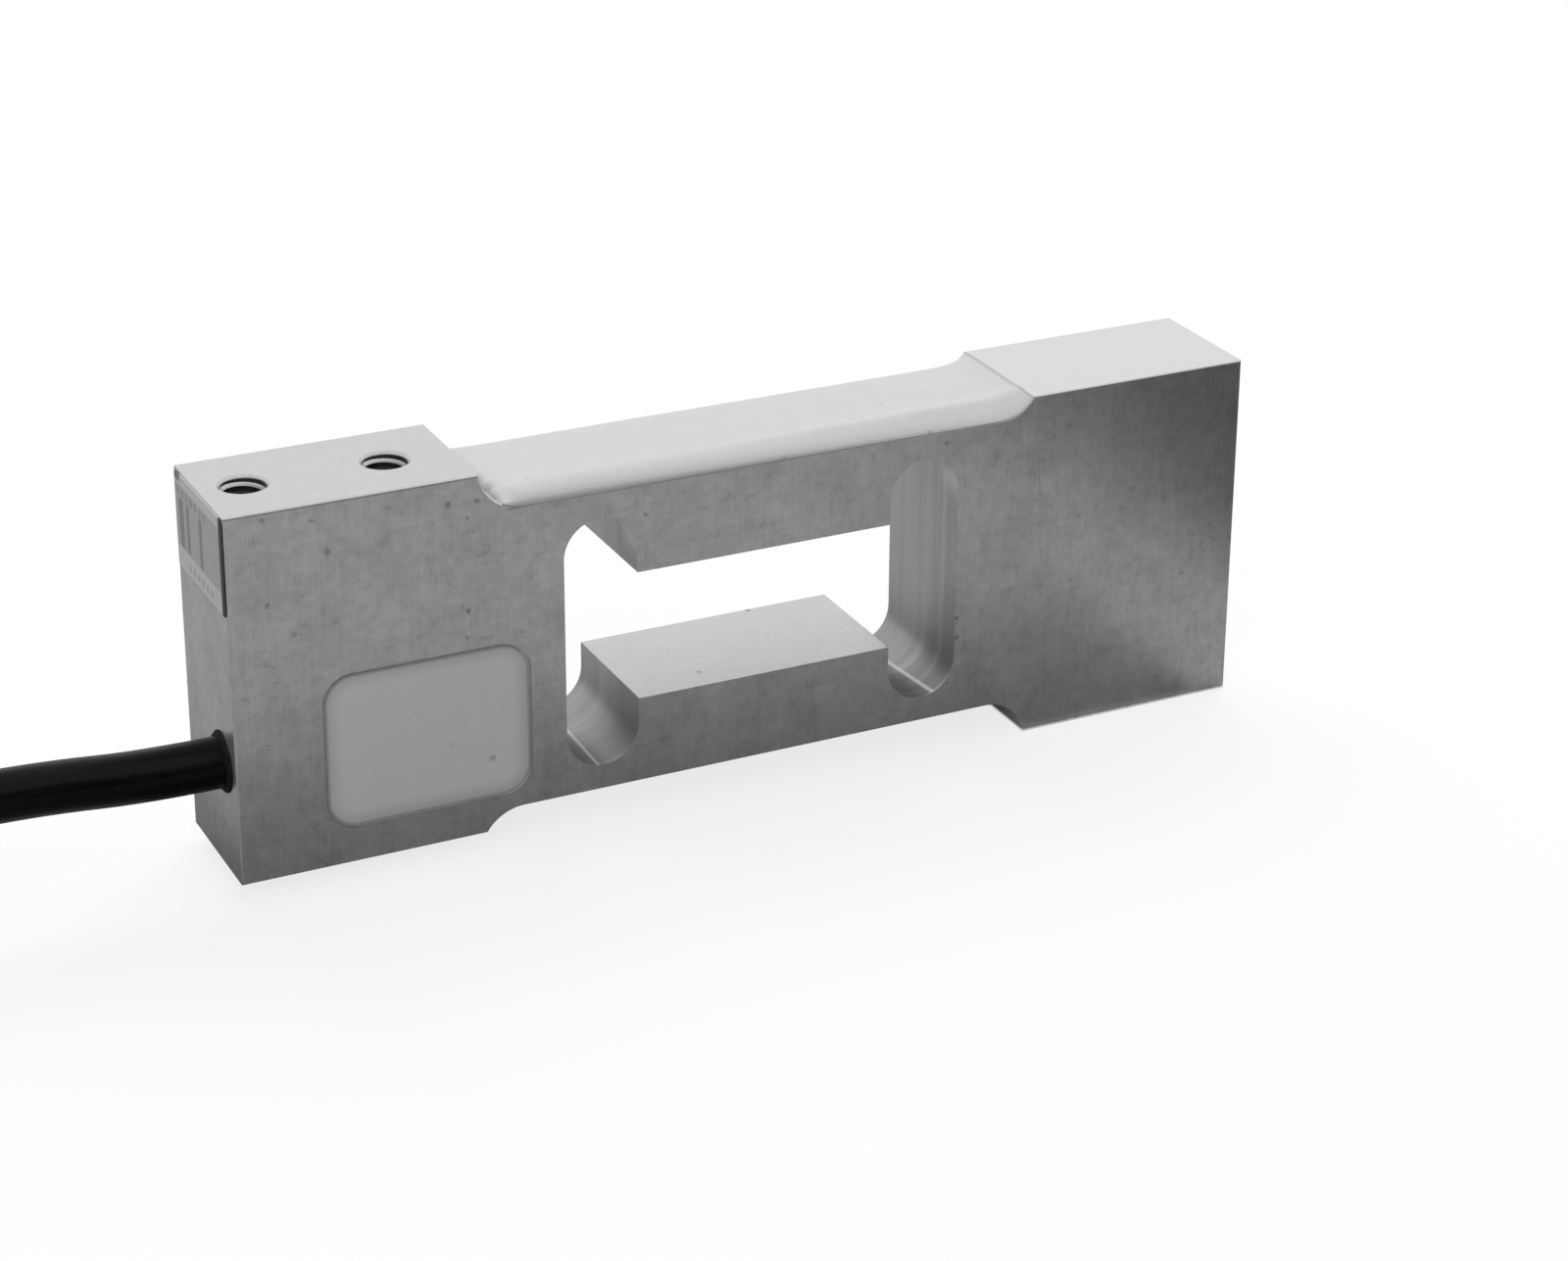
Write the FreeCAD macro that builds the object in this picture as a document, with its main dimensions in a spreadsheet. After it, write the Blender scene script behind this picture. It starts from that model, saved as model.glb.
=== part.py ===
"""A single-point strain gauge load cell with its cable, in millimetres.

The frame: +X runs from the cable end to the far end, the face with the side pocket looks along -Y, and +Z is
up. The origin is under the middle of the block, at the level of its lower mounting pad.
"""
import FreeCAD, Part
import math
import os

import Sketcher
from FreeCAD import Placement, Rotation, Vector

UP = Vector(0, 0, 1)

# Each size has its name, its value in millimetres (or a plain count) and what it measures.
SIZES = [
    # The machined block
    ("body_length", 150, "block, end to end"),
    ("body_thick", 20, "block, near face to far face"),
    ("body_height", 54, "lower pad to upper pad"),
    ("pad_length", 34, "end block, end face to step"),
    ("pad_relief", 2.5, "free side of an end block, below its pad"),
    ("recess_depth", 5.4, "pad down to its recess floor"),
    ("step_radius", 6.35, "cutter radius at the four steps"),
    ("slot_radius", 5.25, "half the width of an upright slot"),
    ("slot_from_step", 16.85, "slot axis, past the step"),
    ("flexure_thick", 3.6, "web left over a slot, where it is thinnest"),
    ("opening_height", 18.5, "gap between the two bosses"),
    ("edge_break", 0.2, "broken edges round both side faces"),
    # The side pocket and its wiring bores
    ("pocket_length", 28.2, "pocket along the block"),
    ("pocket_height", 21.6, "pocket, floor to top"),
    ("pocket_depth", 13, "pocket, from the near face"),
    ("pocket_corner", 4, "corner radius"),
    ("pocket_past_step", 6.3, "pocket's far wall, past the step"),
    ("pocket_level", 18.6, "pocket centre, above the lower pad"),
    ("lip_width", 0.35, "relieved edge round the pocket"),
    ("lip_depth", 0.3, "depth of the relieved edge"),
    ("wire_bore_radius", 1.25, "upright bore from one recess to the other"),
    ("wire_bore_inset", 2.5, "bore axis, inside the pocket's far wall"),
    ("wire_bore_setback", 7, "bore axis, behind the near face"),
    # The mounting holes
    ("thread_radius", 3, "M6 hole at its thread's root"),
    ("thread_depth", 15, "full depth of a mounting hole"),
    ("thread_mouth", 3.4, "radius of the countersunk mouth"),
    ("hole_from_end", 6, "first hole, from the end face"),
    ("hole_spacing", 19, "hole to hole along the block"),
    # The strain gauges and their terminals
    ("gauge_length", 9, "gauge carrier along the block"),
    ("gauge_width", 6, "gauge carrier across the block"),
    ("gauge_film", 0.12, "carrier thickness"),
    ("grid_length", 5, "foil grid along the block"),
    ("grid_pitch", 0.9, "foil strip to foil strip"),
    ("grid_strip", 0.5, "width of a foil strip"),
    ("grid_strips", 5, "count of foil strips"),
    ("tab_length", 1.35, "solder tab of the foil, along the block"),
    ("tab_width", 1.8, "solder tab of the foil, across the block"),
    ("foil_thick", 0.06, "foil thickness"),
    ("terminal_length", 2.6, "terminal pad along the block"),
    ("terminal_width", 4.4, "terminal pad across the block"),
    ("terminal_thick", 0.4, "terminal pad thickness"),
    ("terminal_gap", 1, "gauge carrier to terminal pad"),
    ("solder_radius", 0.8, "solder dot on a terminal pad"),
    ("solder_height", 0.35, "height of a solder dot"),
    ("solder_sides", 8, "count of flats round a solder dot"),
    ("lead_radius", 0.4, "gauge lead"),
    ("lead_straight", 1.2, "gauge lead, straight off its terminal"),
    ("lead_lane", 1.2, "gauge lead, beside the other gauge's carrier"),
    ("lead_ramp", 2.2, "gauge lead, level over the bore's mouth"),
    ("wire_play", 0.05, "leads and cores, clear of what they lie on"),
    ("lead_apart", 1.2, "lead to lead in the upright bore"),
    ("lead_aside", 0.4, "leads, past the axis of the upright bore"),
    ("wire_sides", 6, "count of flats round a gauge lead or a core"),
    # The silicone coats
    ("top_coat_thick", 1.9, "upper coat at the middle"),
    ("top_coat_margin", 0.25, "foot of the upper coat, inside the side faces"),
    ("top_coat_shoulder", 2.6, "width of the upper coat's rolled edge"),
    ("low_coat_thick", 1.4, "lower coat at the middle"),
    ("low_coat_margin", 3, "foot of the lower coat, inside the side faces"),
    ("low_coat_shoulder", 1.2, "width of the lower coat's rolled edge"),
    # The compensation board in the pocket
    ("board_length", 17, "board along the block"),
    ("board_height", 17, "board upright"),
    ("board_thick", 1.2, "board thickness"),
    ("board_shift", 1.4, "board centre, past the pocket centre"),
    ("solder_pad_rows", 4, "solder pads up each edge of the board"),
    ("solder_pad_pitch", 3.6, "solder pad to solder pad"),
    ("solder_pad_size", 1.6, "side of a solder pad"),
    ("solder_pad_thick", 0.1, "copper and solder on the board"),
    ("resistor_length", 3.2, "chip resistor"),
    ("resistor_width", 1.8, "chip resistor"),
    ("resistor_height", 0.8, "chip resistor"),
    ("resistor_pitch", 4.6, "chip to chip up the board"),
    # The cable and what holds it
    ("cable_radius", 3.5, "cable jacket"),
    ("cable_setback", 5.6, "cable axis, behind the near face"),
    ("cable_level", 18, "cable axis, above the lower pad"),
    ("cable_bore_gap", 0.2, "cable jacket to its bore"),
    ("jacket_inside", 4, "jacket, past the pocket wall"),
    ("seal_wall", 0.7, "sealing collar round the jacket"),
    ("seal_seat", 2, "collar, inside the end face"),
    ("seal_proud", 0.8, "collar, outside the end face"),
    ("crimp_wall", 0.8, "crimp sleeve round the jacket"),
    ("crimp_length", 3, "crimp sleeve"),
    ("core_radius", 0.6, "cable core"),
    ("core_sway", 0.92, "cores, to either side of the cable axis"),
    ("core_pitch", 1.43, "core to core up the jacket's cut end"),
    ("core_straight", 1.5, "core, straight out of the jacket"),
    ("core_turn_share", 0.25, "core's last bend, before its pad, as a share of the pad's side"),
    ("lead_turn_share", 1.5, "lead's last bend, before its pad, as a share of the pad's side"),
    # The hank of the length that is put away, and its two ties
    ("cable_sides", 24, "count of flats round the free cable"),
    ("hank_length", 126, "hank along the block"),
    ("hank_width", 64, "hank across the block"),
    ("hank_fold", 31, "radius of the hank's outline at its folds"),
    ("hank_pitch", 7.1, "turn to turn, across and up"),
    ("hank_layers", 3, "turns on each other"),
    ("hank_bevel", 2.05, "bevel along the edges of the hank"),
    ("hank_x", -177.2, "hank centre"),
    ("hank_y", 22.7, "hank centre"),
    ("tie_thick", 0.7, "cable tie, strap thickness"),
    ("tie_width", 4.8, "cable tie, strap width"),
    ("tie_head_width", 7, "cable tie, head across the strap"),
    ("tie_head_length", 6.5, "cable tie, head along the strap"),
    ("tie_head_height", 4.2, "cable tie, head above the strap"),
    # The free end of the cable
    ("sleeve_wall", 0.6, "shrink sleeve round the jacket"),
    ("sleeve_on_jacket", 8, "shrink sleeve over the jacket"),
    ("sleeve_past_jacket", 7, "shrink sleeve past the jacket"),
    ("sleeve_tip_radius", 2.9, "shrink sleeve at its tip"),
    ("flying_radius", 0.75, "flying lead"),
    ("drain_radius", 0.5, "shield drain wire"),
    ("flying_length", 34, "flying lead"),
    ("flying_spread", 3.4, "lead to lead at their ends"),
    ("flying_pitch", 0.94, "lead to lead at the sleeve's tip"),
    ("flying_straight", 5.1, "flying lead, straight out of the sleeve"),
    ("flying_landing", 13.6, "flying lead, down to the floor"),
    ("flying_landing_pitch", 1.87, "lead to lead where they come down"),
    ("flying_hover", 0.3, "flying lead, above the floor where it comes down"),
    ("flying_trim", 1.7, "each lead is shorter than the one inside it by this"),
    ("flying_sides", 8, "count of flats round a flying lead"),
    # The label on the cable end
    ("label_width", 18.3, "label across the end face"),
    ("label_height", 13.4, "label upright"),
    ("label_thick", 0.15, "label thickness"),
    ("label_from_near", 1.2, "label, from the near face"),
    ("label_from_top", 0.3, "label, below the upper pad"),
]

doc = FreeCAD.newDocument("strain_gauge_load_cell")
sheet = doc.addObject("Spreadsheet::Sheet", "Sizes")
for line, (alias, amount, note) in enumerate(SIZES, start=1):
    sheet.set(f"A{line}", alias)
    sheet.set(f"B{line}", str(amount))
    sheet.set(f"C{line}", note)
    sheet.setAlias(f"B{line}", alias)
doc.recompute()


def number(expression):
    """The value of an expression on the sheet's sizes."""
    return float(sheet.evalExpression(expression))


# Places that several pieces share, as expressions on the sheet
END = "Sizes.body_length / 2"
STEP = f"({END} - Sizes.pad_length)"
NEAR = "Sizes.body_thick / 2"
MIDDLE = "Sizes.body_height / 2"
HALF_WEB = f"({MIDDLE} - Sizes.recess_depth)"
TOP_FLOOR = "(Sizes.body_height - Sizes.recess_depth)"
LOW_FLOOR = "Sizes.recess_depth"
FREE_DROP = "(Sizes.recess_depth - Sizes.pad_relief)"
PAD_RUN = "sqrt(2 * Sizes.step_radius * Sizes.recess_depth - Sizes.recess_depth ^ 2)"
FREE_RUN = f"sqrt(2 * Sizes.step_radius * {FREE_DROP} - {FREE_DROP} ^ 2)"
SLOT_X = f"({STEP} - Sizes.slot_from_step)"
POCKET_RIGHT = f"(Sizes.pocket_past_step - {STEP})"
POCKET_X = f"({POCKET_RIGHT} - Sizes.pocket_length / 2)"
POCKET_LEFT = f"({POCKET_RIGHT} - Sizes.pocket_length)"
POCKET_FLOOR = f"(Sizes.pocket_depth - {NEAR})"
BORE_X = f"({POCKET_RIGHT} - Sizes.wire_bore_inset)"
BORE_Y = f"(Sizes.wire_bore_setback - {NEAR})"
CABLE_Y = f"(Sizes.cable_setback - {NEAR})"
BOARD_X = f"({POCKET_X} + Sizes.board_shift)"
BOARD_FACE = f"({POCKET_FLOOR} - Sizes.board_thick)"
SEAL_OUTER = "(Sizes.cable_radius + Sizes.seal_wall)"
EXIT_X = f"(-{END} - Sizes.seal_proud)"
CUT_OVER = 2  # how far a cutting outline stands past the face that it opens


def new_body(name):
    body = doc.addObject("PartDesign::Body", name)
    body.Label = name
    return body


def new_sketch(body, name, plane, **offset):
    """A sketch on one of its body's origin planes, moved along the plane's own axes by expressions."""
    sketch = body.newObject("Sketcher::SketchObject", name)
    support = next(item for item in body.Origin.OriginFeatures if item.Role == plane)
    sketch.AttachmentSupport = [(support, "")]
    sketch.MapMode = "FlatFace"
    for axis, expression in offset.items():
        sketch.setExpression(f"AttachmentOffset.Base.{axis}", expression)
    return sketch


def hold_point(sketch, geometry, end, across, up, name):
    """Dimension one end of a sketch element from the sketch's origin."""
    for kind, expression, tag in (("DistanceX", across, "x"), ("DistanceY", up, "y")):
        if expression == "0":
            axis = -2 if kind == "DistanceX" else -1
            sketch.addConstraint(Sketcher.Constraint("PointOnObject", geometry, end, axis))
            continue
        value = number(expression)
        index = sketch.addConstraint(Sketcher.Constraint(kind, -1, 1, geometry, end, value))
        sketch.renameConstraint(index, f"{name}_{tag}")
        sketch.setExpression(f"Constraints.{name}_{tag}", expression)


def draw_outline(sketch, start, moves):
    """A closed chain from start through moves: (x, y) is a line, (x, y, radius, side) an arc to that point.

    side is 1 where the arc bends left as the chain runs, and -1 where it bends right.
    """
    def place(point):
        return Vector(number(point[0]), number(point[1]), 0)

    points = [start] + [move[:2] for move in moves]
    first = sketch.GeometryCount
    ends = []
    for index, move in enumerate(moves):
        here = place(points[index])
        there = place(points[index + 1])
        if len(move) == 2:
            sketch.addGeometry(Part.LineSegment(here, there), False)
            ends.append((1, 2))
            continue
        radius = number(move[2])
        side = move[3]
        chord = there - here
        rise = math.sqrt(max(radius**2 - (chord.Length / 2) ** 2, 0))
        across = Vector(-chord.y, chord.x, 0).normalize()
        centre = (here + there) / 2 + across * rise * side
        low, high = (here, there) if side > 0 else (there, here)
        turn = [math.atan2(point.y - centre.y, point.x - centre.x) for point in (low, high)]
        sketch.addGeometry(Part.ArcOfCircle(Part.Circle(centre, UP, radius), *turn), False)
        ends.append((1, 2) if side > 0 else (2, 1))
    count = len(moves)
    for index in range(count):
        following = (index + 1) % count
        joint = (first + index, ends[index][1], first + following, ends[following][0])
        sketch.addConstraint(Sketcher.Constraint("Coincident", *joint))
    for index, move in enumerate(moves):
        hold_point(sketch, first + index, ends[index][1], move[0], move[1], f"p{first + index}")
        if len(move) > 2:
            name = f"r{first + index}"
            value = number(move[2])
            radius_index = sketch.addConstraint(Sketcher.Constraint("Radius", first + index, value))
            sketch.renameConstraint(radius_index, name)
            sketch.setExpression(f"Constraints.{name}", move[2])


def draw_rectangle(sketch, width, height, x="0", y="0"):
    """An upright rectangle about (x, y)."""
    left, right = f"{x} - {width} / 2", f"{x} + {width} / 2"
    low, high = f"{y} - {height} / 2", f"{y} + {height} / 2"
    draw_outline(sketch, (left, low), [(right, low), (right, high), (left, high), (left, low)])


def draw_rounded(sketch, width, height, radius, x="0", y="0"):
    """An upright rectangle about (x, y) with round corners."""
    left, right = f"{x} - {width} / 2", f"{x} + {width} / 2"
    low, high = f"{y} - {height} / 2", f"{y} + {height} / 2"
    draw_outline(
        sketch,
        (f"{left} + {radius}", low),
        [
            (f"{right} - {radius}", low),
            (right, f"{low} + {radius}", radius, 1),
            (right, f"{high} - {radius}"),
            (f"{right} - {radius}", high, radius, 1),
            (f"{left} + {radius}", high),
            (left, f"{high} - {radius}", radius, 1),
            (left, f"{low} + {radius}"),
            (f"{left} + {radius}", low, radius, 1),
        ],
    )


def draw_bevelled(sketch, width, height, bevel, x, y):
    """An upright rectangle about (x, y) with its corners cut off at 45 degrees."""
    left, right = f"{x} - {width} / 2", f"{x} + {width} / 2"
    low, high = f"{y} - {height} / 2", f"{y} + {height} / 2"
    draw_outline(
        sketch,
        (f"{left} + {bevel}", low),
        [
            (f"{right} - {bevel}", low),
            (right, f"{low} + {bevel}"),
            (right, f"{high} - {bevel}"),
            (f"{right} - {bevel}", high),
            (f"{left} + {bevel}", high),
            (left, f"{high} - {bevel}"),
            (left, f"{low} + {bevel}"),
            (f"{left} + {bevel}", low),
        ],
    )


def draw_circle(sketch, radius, x="0", y="0"):
    centre = Vector(number(x), number(y), 0)
    index = sketch.addGeometry(Part.Circle(centre, UP, number(radius)), False)
    hold_point(sketch, index, 3, x, y, f"c{index}")
    radius_index = sketch.addConstraint(Sketcher.Constraint("Radius", index, number(radius)))
    sketch.renameConstraint(radius_index, f"c{index}_r")
    sketch.setExpression(f"Constraints.c{index}_r", radius)


def add_pad(body, sketch, name, length, flip=False):
    pad = body.newObject("PartDesign::Pad", name)
    pad.Profile = sketch
    pad.setExpression("Length", length)
    pad.Reversed = flip
    return pad


def add_pocket(body, sketch, name, depth=None, flip=False):
    """Cut a sketch into its body, through all of it where no depth is given."""
    pocket = body.newObject("PartDesign::Pocket", name)
    pocket.Profile = sketch
    pocket.Reversed = flip
    if depth is None:
        pocket.Type = "ThroughAll"
    else:
        pocket.setExpression("Length", depth)
    return pocket


def place_by(item, x="0", y="0", z="0"):
    """Bind an object's place to expressions on the sheet."""
    for axis, expression in (("x", x), ("y", y), ("z", z)):
        item.setExpression(f"Placement.Base.{axis}", expression)


def new_shape(kind, name, x="0", y="0", z="0", **sizes):
    """A primitive whose sizes and place are expressions."""
    item = doc.addObject(f"Part::{kind}", name)
    item.Label = name
    for key, expression in sizes.items():
        item.setExpression(key, expression)
    place_by(item, x, y, z)
    return item


def new_cut(name, base, tools):
    """base less every one of tools, taken off one after the other."""
    for tool in tools:
        cut = doc.addObject("Part::Cut", f"{name}_less_{tool.Name}")
        cut.Base = base
        cut.Tool = tool
        base = cut
    base.Label = name
    return base


def new_fuse(name, items):
    fuse = doc.addObject("Part::MultiFuse", name)
    fuse.Label = name
    fuse.Shapes = items
    return fuse


def route_wire(points, name, share=0.45):
    """Straight runs through points, joined by tangent arcs that take share of the shorter run."""
    edges = []
    radii = []
    start = points[0]
    for before, corner, after in zip(points, points[1:], points[2:]):
        back = (before - corner).normalize()
        ahead = (after - corner).normalize()
        half_turn = (math.pi - back.getAngle(ahead)) / 2
        reach = share * min((before - corner).Length, (after - corner).Length)
        radius = reach / math.tan(half_turn)
        inward = (back + ahead).normalize()
        middle = corner + inward * (radius / math.cos(half_turn) - radius)
        enter = corner + back * reach
        leave = corner + ahead * reach
        edges.append(Part.LineSegment(start, enter).toShape())
        edges.append(Part.Arc(enter, middle, leave).toShape())
        radii.append(radius)
        start = leave
    edges.append(Part.LineSegment(start, points[-1]).toShape())
    if radii:
        print(name, "bend radii", [round(radius, 1) for radius in radii])
    return Part.Wire(edges)


def wire_section(centre, heading, radius, sides):
    """A regular polygon about centre, square to heading, with its corners on the wire's own circle."""
    across = heading.cross(UP).normalize()
    upward = across.cross(heading).normalize()
    turns = [2 * math.pi * corner / sides for corner in range(sides)]
    ring = [centre + (across * math.cos(turn) + upward * math.sin(turn)) * radius for turn in turns]
    return Part.Wire(Part.makePolygon(ring + ring[:1]))


def new_tube(name, points, radius, sides, bent=True):
    """A many-sided bar along a route, checked against its section times its length.

    Where bent is true the runs are joined by arcs, and elsewhere they meet in mitred corners.
    """
    wire = route_wire(points, name) if bent else Part.makePolygon(points)
    section = wire_section(points[0], points[1] - points[0], radius, sides)
    solid = wire.makePipeShell([section], True, bent, 0 if bent else 1)
    expected = Part.Face(section).Area * wire.Length
    if abs(solid.Volume - expected) > 0.01 * expected:
        raise ValueError(f"{name}: volume {solid.Volume:.2f}, expected {expected:.2f}")
    tube = doc.addObject("Part::Feature", name)
    tube.Label = name
    tube.Shape = solid
    return tube


# The machined block: its outline, its two-fold symmetric cuts and its bores
block = new_body("load_cell_body")
outline = new_sketch(block, "block_outline", "XZ_Plane", y=MIDDLE, z=NEAR)
draw_rectangle(outline, "Sizes.body_length", "Sizes.body_height")
add_pad(block, outline, "block_stock", "Sizes.body_thick", flip=True)

recess_sketch = new_sketch(block, "upper_recess_outline", "XZ_Plane", y=MIDDLE, z=NEAR)
OVER_TOP = f"{MIDDLE} + {CUT_OVER}"
OVER_END = f"{END} + {CUT_OVER}"
draw_outline(
    recess_sketch,
    (f"-{STEP}", OVER_TOP),
    [
        (f"-{STEP}", MIDDLE),
        (f"-{STEP} + {PAD_RUN}", HALF_WEB, "Sizes.step_radius", 1),
        (f"{STEP} - {FREE_RUN}", HALF_WEB),
        (STEP, f"{MIDDLE} - Sizes.pad_relief", "Sizes.step_radius", 1),
        (OVER_END, f"{MIDDLE} - Sizes.pad_relief"),
        (OVER_END, OVER_TOP),
        (f"-{STEP}", OVER_TOP),
    ],
)
recess = add_pocket(block, recess_sketch, "upper_recess")

# The two mounting holes in the upper pad. The pattern turns them, with the recess, to the lower pad.
hole_sketch = new_sketch(block, "upper_hole_centres", "XY_Plane", z="Sizes.body_height")
FIRST_HOLE = f"Sizes.hole_from_end - {END}"
draw_circle(hole_sketch, "Sizes.thread_radius", FIRST_HOLE, "0")
draw_circle(hole_sketch, "Sizes.thread_radius", f"{FIRST_HOLE} + Sizes.hole_spacing", "0")
doc.recompute()
holes = block.newObject("PartDesign::Hole", "upper_mounting_holes")
holes.Profile = hole_sketch
doc.recompute()
holes.ThreadType = "None"
holes.DepthType = "Dimension"
holes.HoleCutType = "Countersink"
holes.HoleCutCountersinkAngle = 90
holes.DrillPoint = "Angled"
holes.DrillPointAngle = 118
holes.setExpression("Diameter", "Sizes.thread_radius * 2")
holes.setExpression("Depth", "Sizes.thread_depth")
holes.setExpression("HoleCutDiameter", "Sizes.thread_mouth * 2")
doc.recompute()
turned = block.newObject("PartDesign::PolarPattern", "lower_recess_and_holes")
turned.Originals = [recess, holes]
turned.Axis = (outline, ["N_Axis"])
turned.Angle = 360
turned.Occurrences = 2
block.Tip = turned
doc.recompute()

# The window: an upright slot with round ends near each end block, and the opening between the bosses
slot_sketch = new_sketch(block, "slot_outline", "XZ_Plane", y=MIDDLE, z=NEAR)
SLOT_LEFT = f"-{SLOT_X} - Sizes.slot_radius"
SLOT_RIGHT = f"-{SLOT_X} + Sizes.slot_radius"
SLOT_CROWN = f"({HALF_WEB} - Sizes.flexure_thick)"
SLOT_SHOULDER = f"({SLOT_CROWN} - Sizes.slot_radius)"
draw_outline(
    slot_sketch,
    (SLOT_RIGHT, f"-{SLOT_SHOULDER}"),
    [
        (SLOT_RIGHT, SLOT_SHOULDER),
        (f"-{SLOT_X}", SLOT_CROWN, "Sizes.slot_radius", 1),
        (SLOT_LEFT, SLOT_SHOULDER, "Sizes.slot_radius", 1),
        (SLOT_LEFT, f"-{SLOT_SHOULDER}"),
        (f"-{SLOT_X}", f"-{SLOT_CROWN}", "Sizes.slot_radius", 1),
        (SLOT_RIGHT, f"-{SLOT_SHOULDER}", "Sizes.slot_radius", 1),
    ],
)
slot = add_pocket(block, slot_sketch, "slot_by_the_pocket")
mirrored = block.newObject("PartDesign::Mirrored", "slot_by_the_far_end")
mirrored.Originals = [slot]
mirrored.MirrorPlane = (slot_sketch, ["V_Axis"])
block.Tip = mirrored
doc.recompute()
opening_sketch = new_sketch(block, "boss_opening_outline", "XZ_Plane", y=MIDDLE, z=NEAR)
draw_rectangle(opening_sketch, f"2 * {SLOT_X}", "Sizes.opening_height")
add_pocket(block, opening_sketch, "boss_opening")

# The side pocket, with a relieved edge that frames its filling
pocket_sketch = new_sketch(block, "pocket_outline", "XZ_Plane", z=NEAR)
POCKET_PLACE = (POCKET_X, "Sizes.pocket_level")
POCKET_SIZES = ("Sizes.pocket_length", "Sizes.pocket_height", "Sizes.pocket_corner")
draw_rounded(pocket_sketch, *POCKET_SIZES, *POCKET_PLACE)
add_pocket(block, pocket_sketch, "side_pocket", "Sizes.pocket_depth")
lip_sketch = new_sketch(block, "pocket_lip_outline", "XZ_Plane", z=NEAR)
draw_rounded(
    lip_sketch,
    "(Sizes.pocket_length + 2 * Sizes.lip_width)",
    "(Sizes.pocket_height + 2 * Sizes.lip_width)",
    "(Sizes.pocket_corner + Sizes.lip_width)",
    *POCKET_PLACE,
)
add_pocket(block, lip_sketch, "pocket_lip", "Sizes.lip_depth")

# The cable bore from the end face, with a seat for the sealing collar, and the upright bore for gauge leads
bore_sketch = new_sketch(block, "cable_bore_circle", "YZ_Plane", z=f"-{END}")
draw_circle(bore_sketch, "Sizes.cable_radius + Sizes.cable_bore_gap", CABLE_Y, "Sizes.cable_level")
add_pocket(block, bore_sketch, "cable_bore", f"{POCKET_X} + {END}", flip=True)
seat_sketch = new_sketch(block, "seal_seat_circle", "YZ_Plane", z=f"-{END}")
draw_circle(seat_sketch, SEAL_OUTER, CABLE_Y, "Sizes.cable_level")
add_pocket(block, seat_sketch, "seal_seat", "Sizes.seal_seat", flip=True)
wire_sketch = new_sketch(block, "wire_bore_circle", "XY_Plane", z="Sizes.body_height")
draw_circle(wire_sketch, "Sizes.wire_bore_radius", BORE_X, BORE_Y)
add_pocket(block, wire_sketch, "wire_bore")
doc.recompute()


def side_outline_edges(shape):
    """The names of the edges round both side faces, without those of the window and the pocket."""
    names = []
    for face in shape.Faces:
        box = face.BoundBox
        if box.YLength > 1e-6 or abs(abs(box.YMin) - number(NEAR)) > 1e-6:
            continue
        for rim in face.OuterWire.Edges:
            names += [f"Edge{count}" for count, edge in enumerate(shape.Edges, start=1) if edge.isSame(rim)]
    return names


machined = block.Tip
broken = block.newObject("PartDesign::Chamfer", "broken_edges")
broken.Base = (machined, side_outline_edges(machined.Shape))
broken.setExpression("Size", "Sizes.edge_break")
doc.recompute()


def strain_gauge(name, side, upper):
    """A foil gauge over a slot end: carrier, grid strips and two solder tabs, bonded to a recess floor."""
    body = new_body(name)
    carrier_sketch = new_sketch(body, f"{name}_carrier_outline", "XY_Plane")
    draw_rectangle(carrier_sketch, "Sizes.gauge_length", "Sizes.gauge_width")
    add_pad(body, carrier_sketch, f"{name}_carrier", "Sizes.gauge_film")
    strip_sketch = new_sketch(body, f"{name}_strip_outline", "XY_Plane", z="Sizes.gauge_film")
    strip_y = "-Sizes.grid_pitch * (Sizes.grid_strips - 1) / 2"
    draw_rectangle(strip_sketch, "Sizes.grid_length", "Sizes.grid_strip", "0", strip_y)
    strip = add_pad(body, strip_sketch, f"{name}_strip", "Sizes.foil_thick")
    doc.recompute()
    grid = body.newObject("PartDesign::LinearPattern", f"{name}_grid")
    grid.Originals = [strip]
    grid.Direction = (strip_sketch, ["V_Axis"])
    grid.setExpression("Length", "Sizes.grid_pitch * (Sizes.grid_strips - 1)")
    grid.setExpression("Occurrences", "Sizes.grid_strips")
    body.Tip = grid
    doc.recompute()
    tab_sketch = new_sketch(body, f"{name}_tab_outlines", "XY_Plane", z="Sizes.gauge_film")
    tab_x = "-(Sizes.grid_length + Sizes.gauge_length) / 4"
    for tab_side in ("-", ""):
        tab_y = f"{tab_side}Sizes.gauge_width / 4"
        draw_rectangle(tab_sketch, "Sizes.tab_length", "Sizes.tab_width", tab_x, tab_y)
    add_pad(body, tab_sketch, f"{name}_tabs", "Sizes.foil_thick")
    if not upper:
        body.Placement = Placement(Vector(), Rotation(Vector(1, 0, 0), 180))
    place_by(body, f"{side}{SLOT_X}", "0", TOP_FLOOR if upper else LOW_FLOOR)
    return body


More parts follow.
